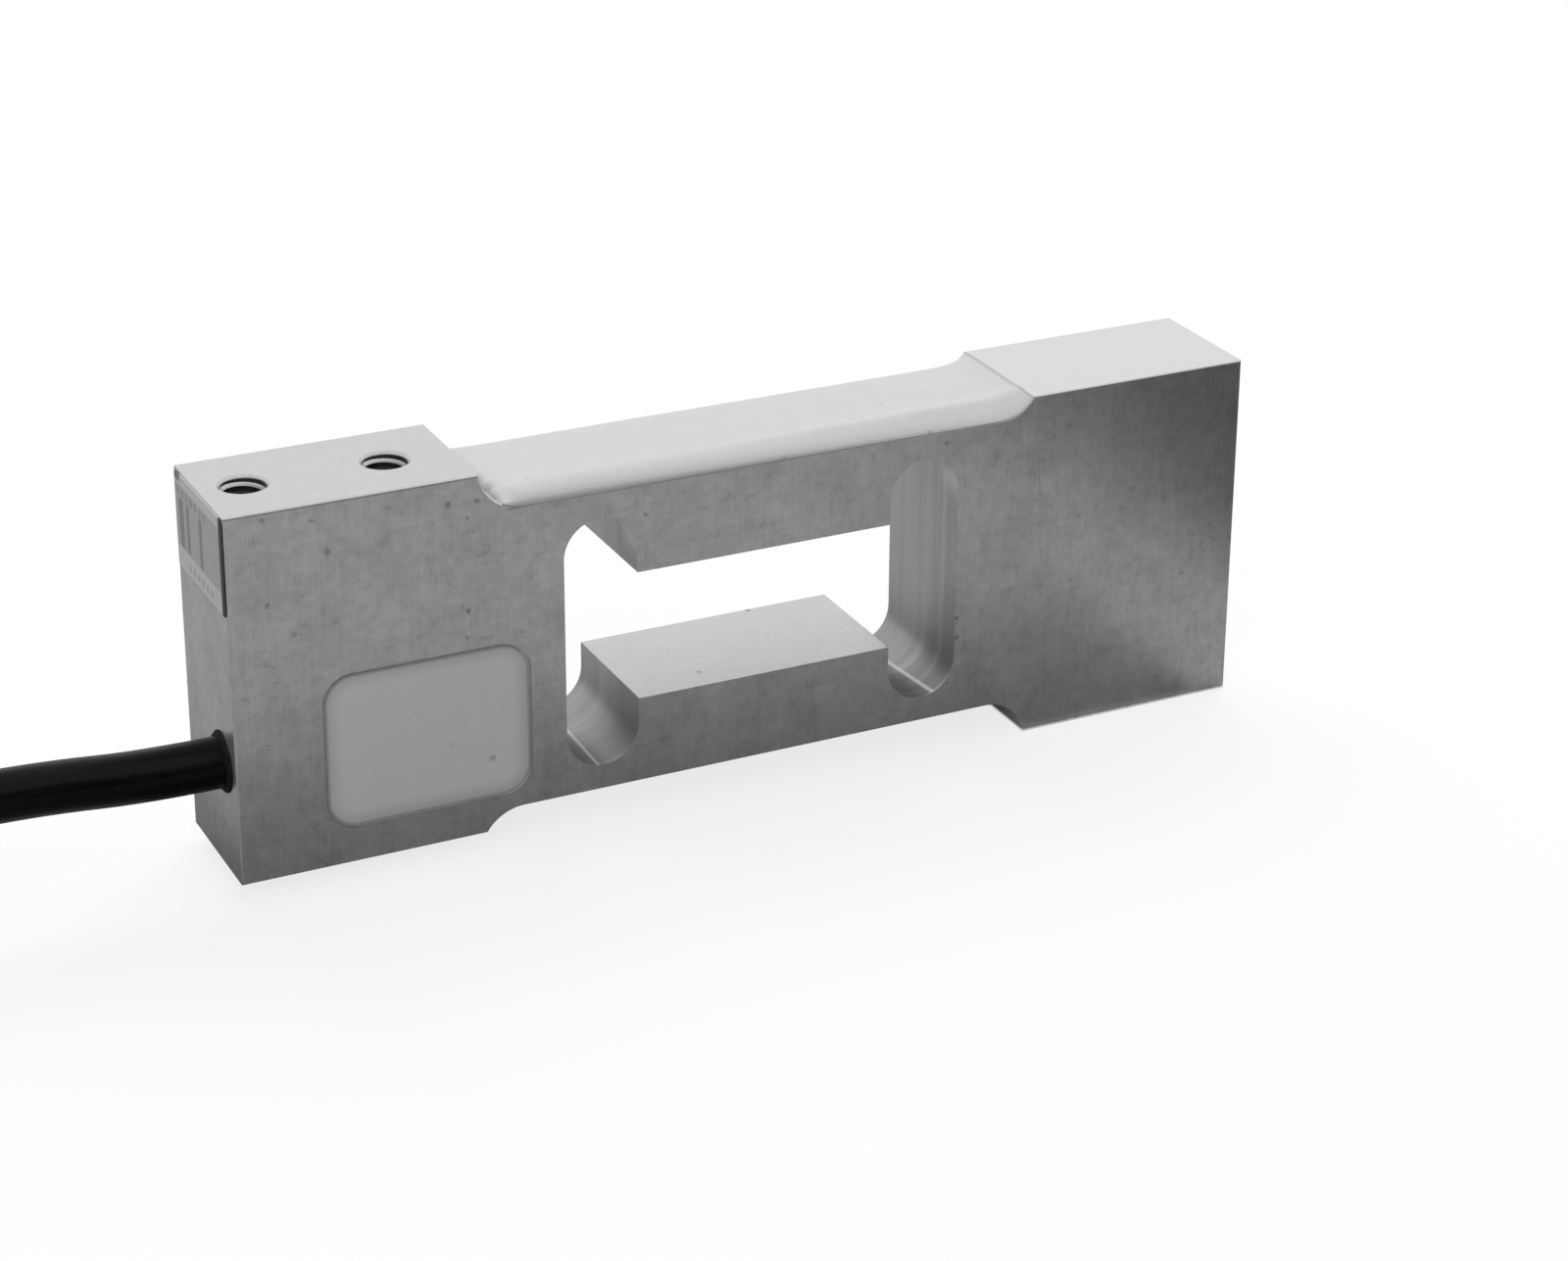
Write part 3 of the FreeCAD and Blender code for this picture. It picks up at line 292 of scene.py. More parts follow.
cable = smooth_line("cable", cable_points, cable_radius)
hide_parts("cable_run", "cable_hank", "cable_tail")
print("the cable is", 2 * cable_radius, "mm across")

# %% [markdown]
# At its free end the cable has a shrink sleeve, and out of that come four coloured leads and the bare drain
# wire, cut to slightly different lengths and fanned on the floor.

# %% The sleeve's tip
sleeve_length = 7
tail_end = cable_points[-1]
heading = (tail_end - cable_points[-2]).normalized()
sideways = Vector((0, 0, 1)).cross(heading).normalized()
sleeve_tip = tail_end + heading * sleeve_length
print("the sleeve ends at", [round(c, 1) for c in sleeve_tip], "mm")

# %% The flying leads
straight_out, drop_reach, longest_lead, shorter_by = 5.1, 13.6, 34, 1.7
root_step, drop_step, end_step = 0.94, 1.87, 3.4
lead_radius = {"flying_lead_red": 0.75, "flying_lead_black": 0.75, "flying_lead_green": 0.75,
               "flying_lead_white": 0.75, "shield_drain_wire": 0.5}
leads = {}
for order, (name, radius) in enumerate(lead_radius.items()):
    offset = order - 2
    root = sleeve_tip + sideways * offset * root_step
    root.z += radius * (1 if order % 2 else -1)
    drop = sleeve_tip + heading * drop_reach + sideways * offset * drop_step
    drop.z = radius + 0.3
    end = sleeve_tip + heading * (longest_lead - shorter_by * abs(offset)) + sideways * offset * end_step
    end.z = radius
    leads[name] = smooth_line(name + "_line", [root, root + heading * straight_out, drop, end], radius)
    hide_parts(name)
print("leads:", ", ".join(leads))

# %% [markdown]
# ## The floor and the light
# The block was photographed against the light: a large soft lamp stands behind it and high up, so the pads,
# the silicone and the lower boss are bright, and the near face is a darker grey. The floor looks white to the
# camera and to anything glossy, and keeps a soft shadow. Five cards are set out, as a photographer sets them
# beside polished metal: a wide grey one and two small dark ones on the floor at the block's foot, and towards
# the front right two black ones, one lying and one standing. Only the block's reflections see them, and they
# give the near face its tone and its dark upper corner.

# %% Lay a sheet in the studio
def studio_sheet(name, middle, size, finish, lean=0):
    """A rectangle, in metres, that isn't part of the object: level, or leaning up by that many degrees."""
    sheet = bmesh.new()
    lean_up = Matrix.Rotation(math.radians(lean), 3, "X")
    bmesh.ops.create_grid(sheet, x_segments=1, y_segments=1, size=0.5)
    bmesh.ops.scale(sheet, verts=sheet.verts, vec=(*size, 1))
    bmesh.ops.rotate(sheet, verts=sheet.verts, cent=(0, 0, 0), matrix=lean_up)
    bmesh.ops.translate(sheet, verts=sheet.verts, vec=middle)
    data = bpy.data.meshes.new(name)
    sheet.to_mesh(data)
    sheet.free()
    data.materials.append(finish.material)
    piece = bpy.data.objects.new(name, data)
    bpy.context.scene.collection.objects.link(piece)
    print(name, "is", size[0], "by", size[1], "m")
    return piece


# %% The floor
clear_rays = ("Is Camera Ray", "Is Glossy Ray", "Is Transmission Ray")
table = Finish("studio_floor_finish", Roughness=1.0)
rays = [table.add("ShaderNodeLightPath", ray) for ray in clear_rays]
seen = (rays[0] + rays[1] + rays[2]).least(1.0)
table.set("Base Color", table.blend(seen, (0.34, 0.34, 0.34), (0.27, 0.27, 0.27)))
table.set("Specular IOR Level", 0.0)
glow = table.add("ShaderNodeEmission", 0, {}, {"Color": (1, 1, 1, 1), "Strength": seen * 0.78})
both = table.add("ShaderNodeAddShader", 0, {}, {0: Signal(table, table.shader.outputs[0]), 1: glow})
table.feed(table.tree.nodes["Material Output"].inputs["Surface"], both)
studio_sheet("studio_floor", (0, 0, 0), (8, 8), table)


# %% The cards
def card(name, middle, size, grey, lean=0):
    """A dull grey sheet that only reflections see."""
    finish = Finish(name + "_finish", (grey, grey, grey), Roughness=1.0, Specular_IOR_Level=0.0)
    sheet = studio_sheet(name, middle, size, finish, lean)
    sheet.visible_camera = False
    sheet.visible_diffuse = False
    sheet.visible_transmission = False
    sheet.visible_shadow = False


card("grey_card", (0, 0, 0.0004), (4, 4), 0.54)
card("front_dark_card", (-0.005, -0.031, 0.0006), (0.15, 0.04), 0.30)
card("left_dark_card", (-0.079, 0.02, 0.0006), (0.007, 0.09), 0.25)
card("black_card", (0.502, -0.505, 0.0008), (0.80, 0.99), 0.01)
card("standing_black_card", (0.60, -1.0, 0.35), (0.95, 0.7), 0.01, lean=90)

# %% The world
lighting_strength, seen_strength = 0.32, 1.0
world = bpy.data.worlds.new("studio")
world.use_nodes = True
backdrop = world.node_tree.nodes["Background"]
backdrop.inputs["Color"].default_value = (1, 1, 1, 1)
world_rays = world.node_tree.nodes.new("ShaderNodeLightPath")
any_clear_ray = world_rays.outputs[clear_rays[0]]
for ray in clear_rays[1:]:
    joined = world.node_tree.nodes.new("ShaderNodeMath")
    joined.operation = "MAXIMUM"
    world.node_tree.links.new(any_clear_ray, joined.inputs[0])
    world.node_tree.links.new(world_rays.outputs[ray], joined.inputs[1])
    any_clear_ray = joined.outputs[0]
dimmer = world.node_tree.nodes.new("ShaderNodeMapRange")
dimmer.inputs["To Min"].default_value = lighting_strength
dimmer.inputs["To Max"].default_value = seen_strength
world.node_tree.links.new(any_clear_ray, dimmer.inputs["Value"])
world.node_tree.links.new(dimmer.outputs[0], backdrop.inputs["Strength"])
bpy.context.scene.world = world
print("the world lights at", lighting_strength, "and is seen at", seen_strength)


# %% The lamps
def soft_light(name, place, target, width, height, watts):
    """A rectangular area lamp, in metres, that looks at a point."""
    lamp = bpy.data.lights.new(name, "AREA")
    lamp.shape = "RECTANGLE"
    lamp.size, lamp.size_y = width, height
    lamp.energy = watts
    light = bpy.data.objects.new(name, lamp)
    aim = (Vector(target) - Vector(place)).to_track_quat("-Z", "Y")
    light.matrix_world = Matrix.Translation(place) @ aim.to_matrix().to_4x4()
    light.visible_glossy = False
    bpy.context.scene.collection.objects.link(light)
    print(name, "gives", watts, "W")


soft_light("back_light", (0.22, 0.45, 0.72), (0, 0, 0.02), 1.0, 0.6, 5.2)
soft_light("left_light", (-0.42, -0.42, 0.38), (-0.04, 0, 0.03), 0.3, 0.3, 0.75)
bpy.context.scene.view_settings.view_transform = "Standard"


# %% [markdown]
# ## Marks for the finishes
# Most finishes here need the same three things: a band between two values, a small spot round a point, and,
# for the pieces that few will look at closely, a mottle of two tones with bumps of the same size.

# %% Bands, spots and mottles
def band(signal, low, high, soft=0.08):
    """1 between low and high, 0 outside, with soft edges."""
    return signal.step(low - soft, low + soft) * signal.step(high + soft, high - soft)


def shaken(finish, amount):
    """The place, pushed about by fine noise so that marks drawn with it get ragged edges."""
    push = finish.add("ShaderNodeTexNoise", 1, {}, {"Vector": finish.place, "Scale": 1.3, "Detail": 2.0})
    spread = {0: push, 1: (2 * amount,) * 3, 2: (-amount,) * 3}
    push = finish.add("ShaderNodeVectorMath", 0, {"operation": "MULTIPLY_ADD"}, spread)
    return finish.add("ShaderNodeVectorMath", 0, {"operation": "ADD"}, {0: finish.place, 1: push})


def spots(finish, where, marks):
    """The greatest of several soft spots, each x, y, z, radius and strength."""
    mask = None
    for x, y, z, radius, strength in marks:
        away = finish.add("ShaderNodeVectorMath", 1, {"operation": "DISTANCE"}, {0: where, 1: (x, y, z)})
        mark = away.step(radius, radius * 0.3) * strength
        mask = mask.most(mark) if mask else mark
    return mask


def mottled(name, dark, light, scale, depth=0.01, stretch=(1, 1, 1), roughness=(0.4, 0.6), **shader_values):
    """Two tones, two roughnesses and a relief that all follow the same blots."""
    finish = Finish(name, **shader_values)
    blots = finish.grain(scale, stretch)
    patch = blots.step(0.3, 0.7)
    finish.set("Base Color", finish.blend(patch, dark, light))
    finish.set("Roughness", patch * (roughness[1] - roughness[0]) + roughness[0])
    finish.relief(blots, depth)
    return finish


# %% [markdown]
# ## The machined aluminium
# The near face has a fine mottle, faint upright brush marks and a few dark pits. Each top edge was broken with
# a file, and a thin dark line of painted shade runs along it. The cutter left the walls of the window's slots
# rougher than the faces, with its lines along each wall and a ridge along the bottom. The walls are also
# painted darker as shade, most of all low down and near the front, with a painted highlight at the top of each
# arch near the front, and the ridge has a painted highlight on it and painted shade beside it. The bores are
# painted dark with depth as shade, and the far pad's top is painted lighter: painted light.

# %% Tones of the bare metal
block = Finish("machined_aluminium", Metallic=0.75)
fine = block.grain(4.2, detail=2.0)
brushed = block.grain(1.3, (2.2, 2.2, 0.12), detail=2.0)
cross_grain = block.grain(1.1, (0.2, 0.2, 1.6), detail=2.0)
mottle = block.grain(0.75, detail=4.0, rough=0.65)
clouds = block.grain(0.17)
near_face = block.y.step(0.1 - half_thickness, 0.02 - half_thickness)
side_faces = abs(block.y).step(half_thickness - 0.1, half_thickness - 0.02)
upright = side_faces.most(abs(block.x).step(half_length - 0.1, half_length - 0.02))
coarse = (brushed - 0.5) * 0.4 + (cross_grain - 0.5) * 0.3 + (mottle - 0.5) * 0.9 + (clouds - 0.5) * 0.7
tone = (fine - 0.5) * 0.7 + coarse * (upright * 0.8 + 0.2) + 0.5
metal = block.blend(tone, (0.44, 0.44, 0.44), (0.78, 0.78, 0.78))
# The far pad's top is painted a lighter, even grey: painted light.
painted_light_on_far_pad = block.z.step(far_pad - 0.1, far_pad - 0.02) * block.x.step(40.9, 41.1)
metal = block.blend(painted_light_on_far_pad * (1 - near_face), metal, (0.71, 0.71, 0.71))
print("tones for", block.material.name)

# %% Painted shade on the walls in the slots
slot_walls = band(abs(block.x), 18.8, 29.6) * band(block.z, 8.9, 45.1) * (1 - near_face)
# Painted shade: the slot walls are painted darker towards the front and low down, where shade falls in the
# window. The same mask also makes them rougher.
towards_front = block.y.step(5, -half_thickness) * 0.25
low_down = block.z.step(22, 11) * 0.31
lowest_down = block.z.step(15, 12) * 0.12
slot_shade_and_dullness = (towards_front + 0.05 + low_down + lowest_down) * slot_walls
metal = block.blend(slot_shade_and_dullness, metal, (0.10, 0.10, 0.10))
cutter_lines = block.grain(0.45, (0.06, 1, 0.03), detail=2.0)
metal = block.blend(cutter_lines.step(0.5, 0.75) * slot_walls * 0.3, metal, (0.85, 0.85, 0.85))
metal = block.blend(cutter_lines.step(0.5, 0.25) * slot_walls * 0.22, metal, (0.15, 0.15, 0.15))
# A painted highlight: the top of each slot's arch near the front is painted almost white.
painted_arch_highlight = slot_walls * block.z.step(37, 41) * block.y.step(-3, -9)
metal = block.blend(painted_arch_highlight * 0.5, metal, (0.95, 0.95, 0.95))
print("dull walls with cutter lines in both slots")

# %% Painted shade and a painted highlight at the ridge along each slot's bottom
low_in_slots = block.z.step(12.5, 10.5) * slot_walls
ridge_by_pocket = block.x + 24.7 - block.y * 0.03
ridge_by_far_end = block.x - 25.4 + block.y * 0.07
for past_ridge, shade in ((ridge_by_pocket, 0.2), (ridge_by_far_end, 0.42)):
    # Each ridge gets painted shade in a wedge on one side and a painted highlight along its crest.
    painted_ridge_shade = past_ridge.step(-0.2, -0.6) * past_ridge.step(-6.0, -5.0)
    metal = block.blend(painted_ridge_shade * low_in_slots * shade, metal, (0.12, 0.12, 0.12))
    metal = block.blend(band(past_ridge, -0.2, 0.3, 0.15) * low_in_slots * 0.6, metal, (0.8, 0.8, 0.8))
print("a ridge in each slot")

# %% Painted shade in the bores and along the top edges
hole_across = abs(abs(block.x) - 59.5) - 9.5
upper_bores = band(block.z, 38, cable_pad - 0.4, 0.25) * block.x.step(0, -1)
lower_bores = band(block.z, 0.4, 16, 0.25) * block.x.step(0, 1)
in_hole = (hole_across * hole_across + block.y * block.y).step(13.5, 12.0)
# The bores are painted dark with depth: painted shade.
bores = in_hole * (upper_bores + lower_bores)
cable_pad_edge = band(block.z, cable_pad - 0.34, cable_pad + 0.2, 0.06)
far_pad_edge = band(block.z, far_pad - 0.24, far_pad + 0.2, 0.06) * block.x.step(40.6, 41.2)
recess_span = band(block.x, -37, 36.5, 0.5)
recess_edge = band(block.z, recess_level - 0.24, recess_level + 0.2, 0.08) * recess_span * 0.8
# A thin dark line of painted shade along each top edge and along the recess under the silicone.
painted_edge_shade = (cable_pad_edge + far_pad_edge + recess_edge) * near_face
print("dark bores, and broken edges at", cable_pad, far_pad, recess_level, "mm")

# %% Pits, specks and a scratch
pits = [(-69.88, 52.89, 0.53, 0.7), (-63.51, 51.74, 0.53, 0.6), (-45.26, 50.72, 0.59, 0.8),
        (-41.23, 50.52, 0.53, 0.8), (-42.64, 48.28, 0.46, 0.6), (-61.56, 47.17, 0.59, 0.7),
        (-69.8, 41.2, 0.53, 0.8), (-42.87, 35.26, 0.59, 1.0), (-43.1, 31.5, 0.53, 0.6),
        (-66.4, 36.6, 0.59, 0.5), (-54.83, 12.12, 0.46, 0.5), (-17.65, 44.24, 0.53, 0.8),
        (29.63, 20.11, 0.4, 1.0), (29.71, 17.08, 0.46, 0.9), (27.4, 46.9, 0.4, 0.8),
        (66.7, 20.0, 0.46, 0.7), (68.1, 10.6, 0.4, 0.5)]
specks_on_boss = [(6.65, 9.7, 17.75, 0.6, 1), (-8.2, -5.9, 17.75, 0.45, 0.9), (19.0, 9.8, 17.75, 0.4, 0.6)]
pits_on_near_face = [(x, -half_thickness, z, radius, strength) for x, z, radius, strength in pits]
marks_in_metal = spots(block, shaken(block, 0.35), pits_on_near_face + specks_on_boss)
flecks = mottle.step(0.40, 0.30) * upright
scratch = band(block.z * 0.065 + block.x, 44.78, 44.9, 0.1) * band(block.z, 36.6, 42.1, 0.4) * near_face
print(len(pits), "pits and", len(specks_on_boss), "specks")

# %% Put the metal together
# The bores and edges here are painted shade; the pits, specks, flecks and scratch are marks in the metal.
dark_marks = ((bores, 0.85, 0.05), (painted_edge_shade, 0.6, 0.1), (marks_in_metal, 0.6, 0.08),
              (flecks, 0.12, 0.1), (scratch, 0.3, 0.1))
for mask, strength, shade in dark_marks:
    metal = block.blend(mask * strength, metal, (shade, shade, shade))
block.set("Base Color", metal)
block.set("Roughness", (fine - 0.5) * 0.1 + slot_shade_and_dullness * 0.15 + 0.31)
block.relief(fine * 0.4 + brushed * 0.3 + cross_grain * 0.2 - marks_in_metal, 0.008)
wear(["load_cell_body"], block)


# %% [markdown]
# ## The threads
# Four M6 holes hold the cell: two in the pad at the cable end, two under the far end. Their solids are plain
# bores of the nominal diameter, so the ridge of each thread is a new piece: a small triangle, spun round the
# axis while it climbs one pitch a turn.

# %% Make a piece of a mesh in hand
def finished_piece(name, mesh_in_hand):
    """Turns a mesh in hand, in metres, into a piece of the object that rides on its one body."""
    bmesh.ops.recalc_face_normals(mesh_in_hand, faces=mesh_in_hand.faces)
    data = bpy.data.meshes.new(name)
    mesh_in_hand.to_mesh(data)
    mesh_in_hand.free()
    piece = bpy.data.objects.new(name, data)
    bpy.context.scene.collection.objects.link(piece)
    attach(piece, "root")
    print(name, "has", len(data.polygons), "faces")
    return piece


# %% Cut a thread
def thread_ridge(name, hole_x, lowest, turns=13, pitch=1.0, wall=3.02, crest=2.58):
    """The ridge inside one bore, from its lowest turn up."""
    steps_a_turn = 24
    first_way = Matrix.Rotation(math.radians(-100), 3, "Z")
    ridge = bmesh.new()
    bmesh.ops.create_circle(ridge, cap_ends=True, segments=3, radius=1)
    flank = [(wall, 0, 0.38), (crest, 0, 0), (wall, 0, -0.38)]
    for corner, place in zip(ridge.verts, flank):
        corner.co = place
    bmesh.ops.spin(
        ridge,
        geom=ridge.verts[:] + ridge.edges[:] + ridge.faces[:],
        cent=(0, 0, 0),
        axis=(0, 0, 1),
        dvec=(0, 0, pitch / steps_a_turn),
        angle=math.tau * turns,
        steps=steps_a_turn * turns,
        use_duplicate=False,
    )
    bmesh.ops.rotate(ridge, verts=ridge.verts, cent=(0, 0, 0), matrix=first_way)
    bmesh.ops.translate(ridge, verts=ridge.verts, vec=(hole_x, 0, lowest))
    bmesh.ops.scale(ridge, verts=ridge.verts, vec=(MM, MM, MM))
    return finished_piece(name, ridge)


# %% Threads in the four holes
thread_metal = Finish("thread_metal", Metallic=0.8)
# The thread is painted almost black except near the holes' mouths: painted shade deep in the bores.
painted_thread_shade = thread_metal.z.step(cable_pad - 0.8, cable_pad - 1.8) * thread_metal.z.step(0.8, 1.8)
cut_marks = thread_metal.grain(3.0, (1, 1, 4))
shine = thread_metal.blend(cut_marks, (0.5, 0.5, 0.5), (0.8, 0.8, 0.8))
thread_metal.set("Base Color", thread_metal.blend(painted_thread_shade, shine, (0.04, 0.04, 0.04)))
thread_metal.set("Roughness", cut_marks * 0.2 + 0.25)
thread_metal.relief(cut_marks, 0.01)
holes = {"outer": (-69, 40.2), "inner": (-50, 40.2), "far_outer": (69, 0.8), "far_inner": (50, 0.8)}
for hole, (hole_x, lowest) in holes.items():
    thread_ridge("thread_" + hole, hole_x, lowest).data.materials.append(thread_metal.material)


# %% [markdown]
# ## The silicone over the upper gauges
# The silicone was poured into the recess and set with a skin. It lies flat along the middle and rolls over at
# both long edges. At the cable end it stops in a ragged line low on the step, and at the far end it climbs
# the step to the pad. A grid follows those edges, and its height comes from one function.

# %% Where the silicone ends
coat_start, coat_slant, coat_end = -38.5, 0.9, 40.98
cable_step, far_step, step_radius = -34.72, 35.67, 6.35


def recess_floor(x):
    """Height of the metal under the silicone: level, with an arc up each step."""
    beyond = max(cable_step - x, x - far_step, 0)
    return recess_level + step_radius - math.sqrt(step_radius ** 2 - beyond ** 2)


def coat_point(along, across):
    """x and y on the coat for along from 0 to 1 and across from -1 to 1."""
    wavy = noise.noise(Vector((across * 9, 3.1, 0))) * 0.35
    ragged = wavy + noise.noise(Vector((across * 31, 7.7, 0))) * 0.12
    start = coat_start - coat_slant * across + ragged
    x = start + along * (coat_end - start)
    return x, half_thickness * math.sin(across * math.pi / 2)


print("silicone from x =", coat_start, "to", coat_end, "mm")

# %% How high the silicone stands
coat_level = 50.5


def coat_height(along, x, y):
    """Height of the silicone's skin above the lower pad's level."""
    from_edge = half_thickness - abs(y)
    near = 1 if y < 0 else 0
    shoulder = (3.4 + 0.9 * along) * near + 2.4 * (1 - near)
    inward = min(from_edge / shoulder, 1)
    fullness = 1.85 - 0.65 * along * near
    roll = max(1 - (1 - inward) ** fullness, 0) ** (1 / fullness)
    end_length = 0.018 + 0.07 * max(-y / half_thickness - 0.5, 0)
    end_roll = math.sqrt(max(1 - (1 - min(along / end_length, 1)) ** 2, 0))
    climb = max((x - 33.0) / 7.9, 0) ** 3.2
    bead = 0.16 * near * min(max(along * 2 - 0.6, 0), 1) * math.exp(-((from_edge - 3.7) / 1.1) ** 2)
    swell = 0.07 * noise.noise(Vector((x * 0.11, y * 0.2, 1.7)))
    floor_here = recess_floor(x)
    thickness = max(coat_level + climb + swell - floor_here, 0)
    return floor_here + 0.04 + thickness * roll * end_roll + bead * end_roll


print("the silicone's middle stands at", round(coat_height(0.5, 0, 0), 2), "mm")

# %% Pour it
pour = bmesh.new()
bmesh.ops.create_grid(pour, x_segments=130, y_segments=44, size=1)
skin = bmesh.ops.extrude_face_region(pour, geom=pour.faces[:])["geom"]
skin_verts = {v for v in skin if isinstance(v, bmesh.types.BMVert)}
for v in pour.verts:
    along = (v.co.x + 1) / 2
    x, y = coat_point(along, v.co.y)
    v.co = Vector((x, y, coat_height(along, x, y) if v in skin_verts else recess_floor(x))) * MM
top_coat = finished_piece("top_silicone", pour)
top_coat.data.polygons.foreach_set("use_smooth", [True] * len(top_coat.data.polygons))
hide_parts("top_gauge_coat")

# %% [markdown]
# The silicone is milky white with a slightly grey skin. Its edges are painted darker as shade, and a few
# specks and a short scratch lie on top.

# %% White silicone
silicone = Finish("white_silicone_finish")
milk = silicone.grain(0.25, (1, 1.6, 1))
dust = silicone.grain(2.6, detail=1.0)
white = silicone.blend(milk, (0.70, 0.70, 0.695), (0.78, 0.78, 0.775))
# Painted shade: the long edges, mostly towards the cable end, and the far end by the pad are painted darker.
long_edges = abs(silicone.y).step(9.5, 9.97) * silicone.x.step(40, 10)
coat_edge_shade = long_edges.most(silicone.x.step(40.2, 40.9))
specks_on_coat = [(21.6, -1.5, 50.5, 0.7, 0.6), (14.4, -2.6, 50.5, 0.5, 0.4), (9.5, -0.5, 50.5, 0.5, 0.3),
                  (-32.5, -5.5, 50.5, 0.7, 0.4), (24.9, -9.9, 48.8, 0.6, 1.0), (2.6, -9.9, 48.8, 0.5, 0.7)]
specks = spots(silicone, shaken(silicone, 0.4), specks_on_coat)
scratch_line = band(silicone.y + silicone.x * 0.5, 3.0, 3.2, 0.12)
coat_scratch = scratch_line * band(silicone.x, 15.2, 17.0, 0.3) * silicone.z.step(49, 50)
white = silicone.blend(coat_edge_shade * 0.35, white, (0.30, 0.30, 0.29))
white = silicone.blend(specks.most(coat_scratch) * 0.35, white, (0.25, 0.25, 0.24))
silicone.set("Base Color", white)
silicone.set("Roughness", milk * 0.2 + 0.3)
silicone.relief(milk + dust * 0.15, 0.02)
top_coat.data.materials.append(silicone.material)
wear(["bottom_gauge_coat"], silicone)

# %% [markdown]
# ## The pocket's potting
# The compound fills the pocket to just under its rim. It is a pale grey, smooth and even, painted a little
# darker towards the rim as the shade of its dished edge, with a thin line of painted shadow at the rim itself
# and one dark speck low on its right.

# %% Grey potting
pocket_x, pocket_z, pocket_corner = -48.8, 18.6, 4
straight_x, straight_z = 10.1, 6.8
potting = Finish("grey_potting_finish")
cure = potting.grain(0.3)
grit = potting.grain(7.0, detail=1.0)
past_x = (abs(potting.x - pocket_x) - straight_x).most(0)
past_z = (abs(potting.z - pocket_z) - straight_z).most(0)
to_rim = (past_x * past_x + past_z * past_z) ** 0.5 - pocket_corner
pale = potting.blend(cure * 0.7 + grit * 0.3, (0.78, 0.78, 0.77), (0.86, 0.86, 0.85))
# Painted shade: darker towards the rim over its dished edge, and a thin line of painted shadow at the rim.
pale = potting.blend(to_rim.step(-2.6, 0.2) * 0.32, pale, (0.25, 0.25, 0.25))
pale = potting.blend(to_rim.step(-0.5, -0.1) * 0.4, pale, (0.10, 0.10, 0.10))
specks_in_potting = [(-40.05, -9.7, 13.4, 0.8, 1), (-45.6, -9.7, 16.4, 0.7, 0.3),
                     (-50.5, -9.7, 22.0, 0.6, 0.3)]
potting_specks = spots(potting, shaken(potting, 0.4), specks_in_potting)
potting.set("Base Color", potting.blend(potting_specks * 0.5, pale, (0.12, 0.12, 0.12)))
potting.set("Roughness", grit * 0.1 + 0.42)
potting.relief(cure * 0.6 + grit * 0.1 - to_rim.step(-2.5, 0.3) * 2, 0.04)
wear(["pocket_potting"], potting)

# %% [markdown]
# ## The label
# A silvery film on the cable end, down to the edge, where it has a black border. Its print stays generic:
# grey bars and a pale strip with a few marks, and no lettering.

# %% Cut the label
film_size = (0.15, 19.4, 13.3)
film_middle = (-75.07, -0.2, 47.05)
film = bmesh.new()
bmesh.ops.create_cube(film, size=1)
bmesh.ops.scale(film, verts=film.verts, vec=film_size)
corner_edges = [e for e in film.edges if abs(e.verts[0].co.x - e.verts[1].co.x) > 0.1]
bmesh.ops.bevel(
    film,
    geom=corner_edges,
    offset=0.5,
    offset_type="OFFSET",
    affect="EDGES",
    segments=4,
    profile=0.5,
    material=-1,
)
bmesh.ops.translate(film, verts=film.verts, vec=film_middle)
bmesh.ops.scale(film, verts=film.verts, vec=(MM, MM, MM))
label = finished_piece("end_label_film", film)
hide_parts("end_label")

# %% Print the label
print_film = Finish("label_film_finish", Metallic=0.3)
sheen = print_film.grain(1.2, (1, 3, 0.4))
across, up = print_film.y, print_film.z
silver = print_film.blend(sheen, (0.58, 0.58, 0.58), (0.74, 0.74, 0.74))
pale_strip = band(up, 40, 43.4, 0.15).most(band(up, 52.2, 54, 0.15))
silver = print_film.blend(pale_strip * 0.75, silver, (0.95, 0.95, 0.95))
bars = (band(across, -1.5, -0.2) + band(across, 3.8, 5.0) + band(across, 6.2, 8.0)) * band(up, 43.6, 50.4)
mark_columns = band((across * 2.1).maths("FRACT", across * 0.55), 0.25, 0.7)
mark_rows = band(up, 50.8, 51.9) * across.step(-4, -3) + band(up, 41.2, 42.2) * band(across, -6, 5)
silver = print_film.blend((bars * 0.6).most(mark_columns * mark_rows * 0.4), silver, (0.2, 0.2, 0.2))
far_border = band(across, 7.2, 9.4, 0.3) * up.step(52.4, 52.9) * 0.7
border = across.step(-8.5, -8.75).most(far_border)
print_film.set("Base Color", print_film.blend(border, silver, (0.012, 0.012, 0.012)))
print_film.set("Roughness", sheen * 0.2 + 0.35)
print_film.relief(sheen, 0.01)
label.data.materials.append(print_film.material)
print("bars, small marks and a black border on", label.name)

# %% [markdown]
# ## The cable's finishes
# The jacket is black plastic, a little dusty, with the faint lengthwise lines of the die that it came
# through. The collar at its mouth is black rubber with a few painted glints, and the sleeve at its free end is
# shrunk tube with small wrinkles.

# %% Squeeze out the collar
bead_profile = [(-73.0, 4.2), (-75.01, 4.2), (-75.2, 4.1), (-75.4, 3.92), (-75.55, 3.72), (-75.6, 3.45),
                (-74.4, 3.4), (-73.0, 3.4)]
bead = bmesh.new()
bmesh.ops.create_circle(bead, cap_ends=False, segments=len(bead_profile), radius=1)
for corner, (x, away) in zip(bead.verts, bead_profile):
    corner.co = (x, cable_y, cable_z + away)
bmesh.ops.spin(
    bead,
    geom=bead.verts[:] + bead.edges[:],
    cent=(0, cable_y, cable_z),
    axis=(1, 0, 0),
    dvec=(0, 0, 0),
    angle=math.tau,
    steps=48,
    use_merge=True,
    use_duplicate=False,
)
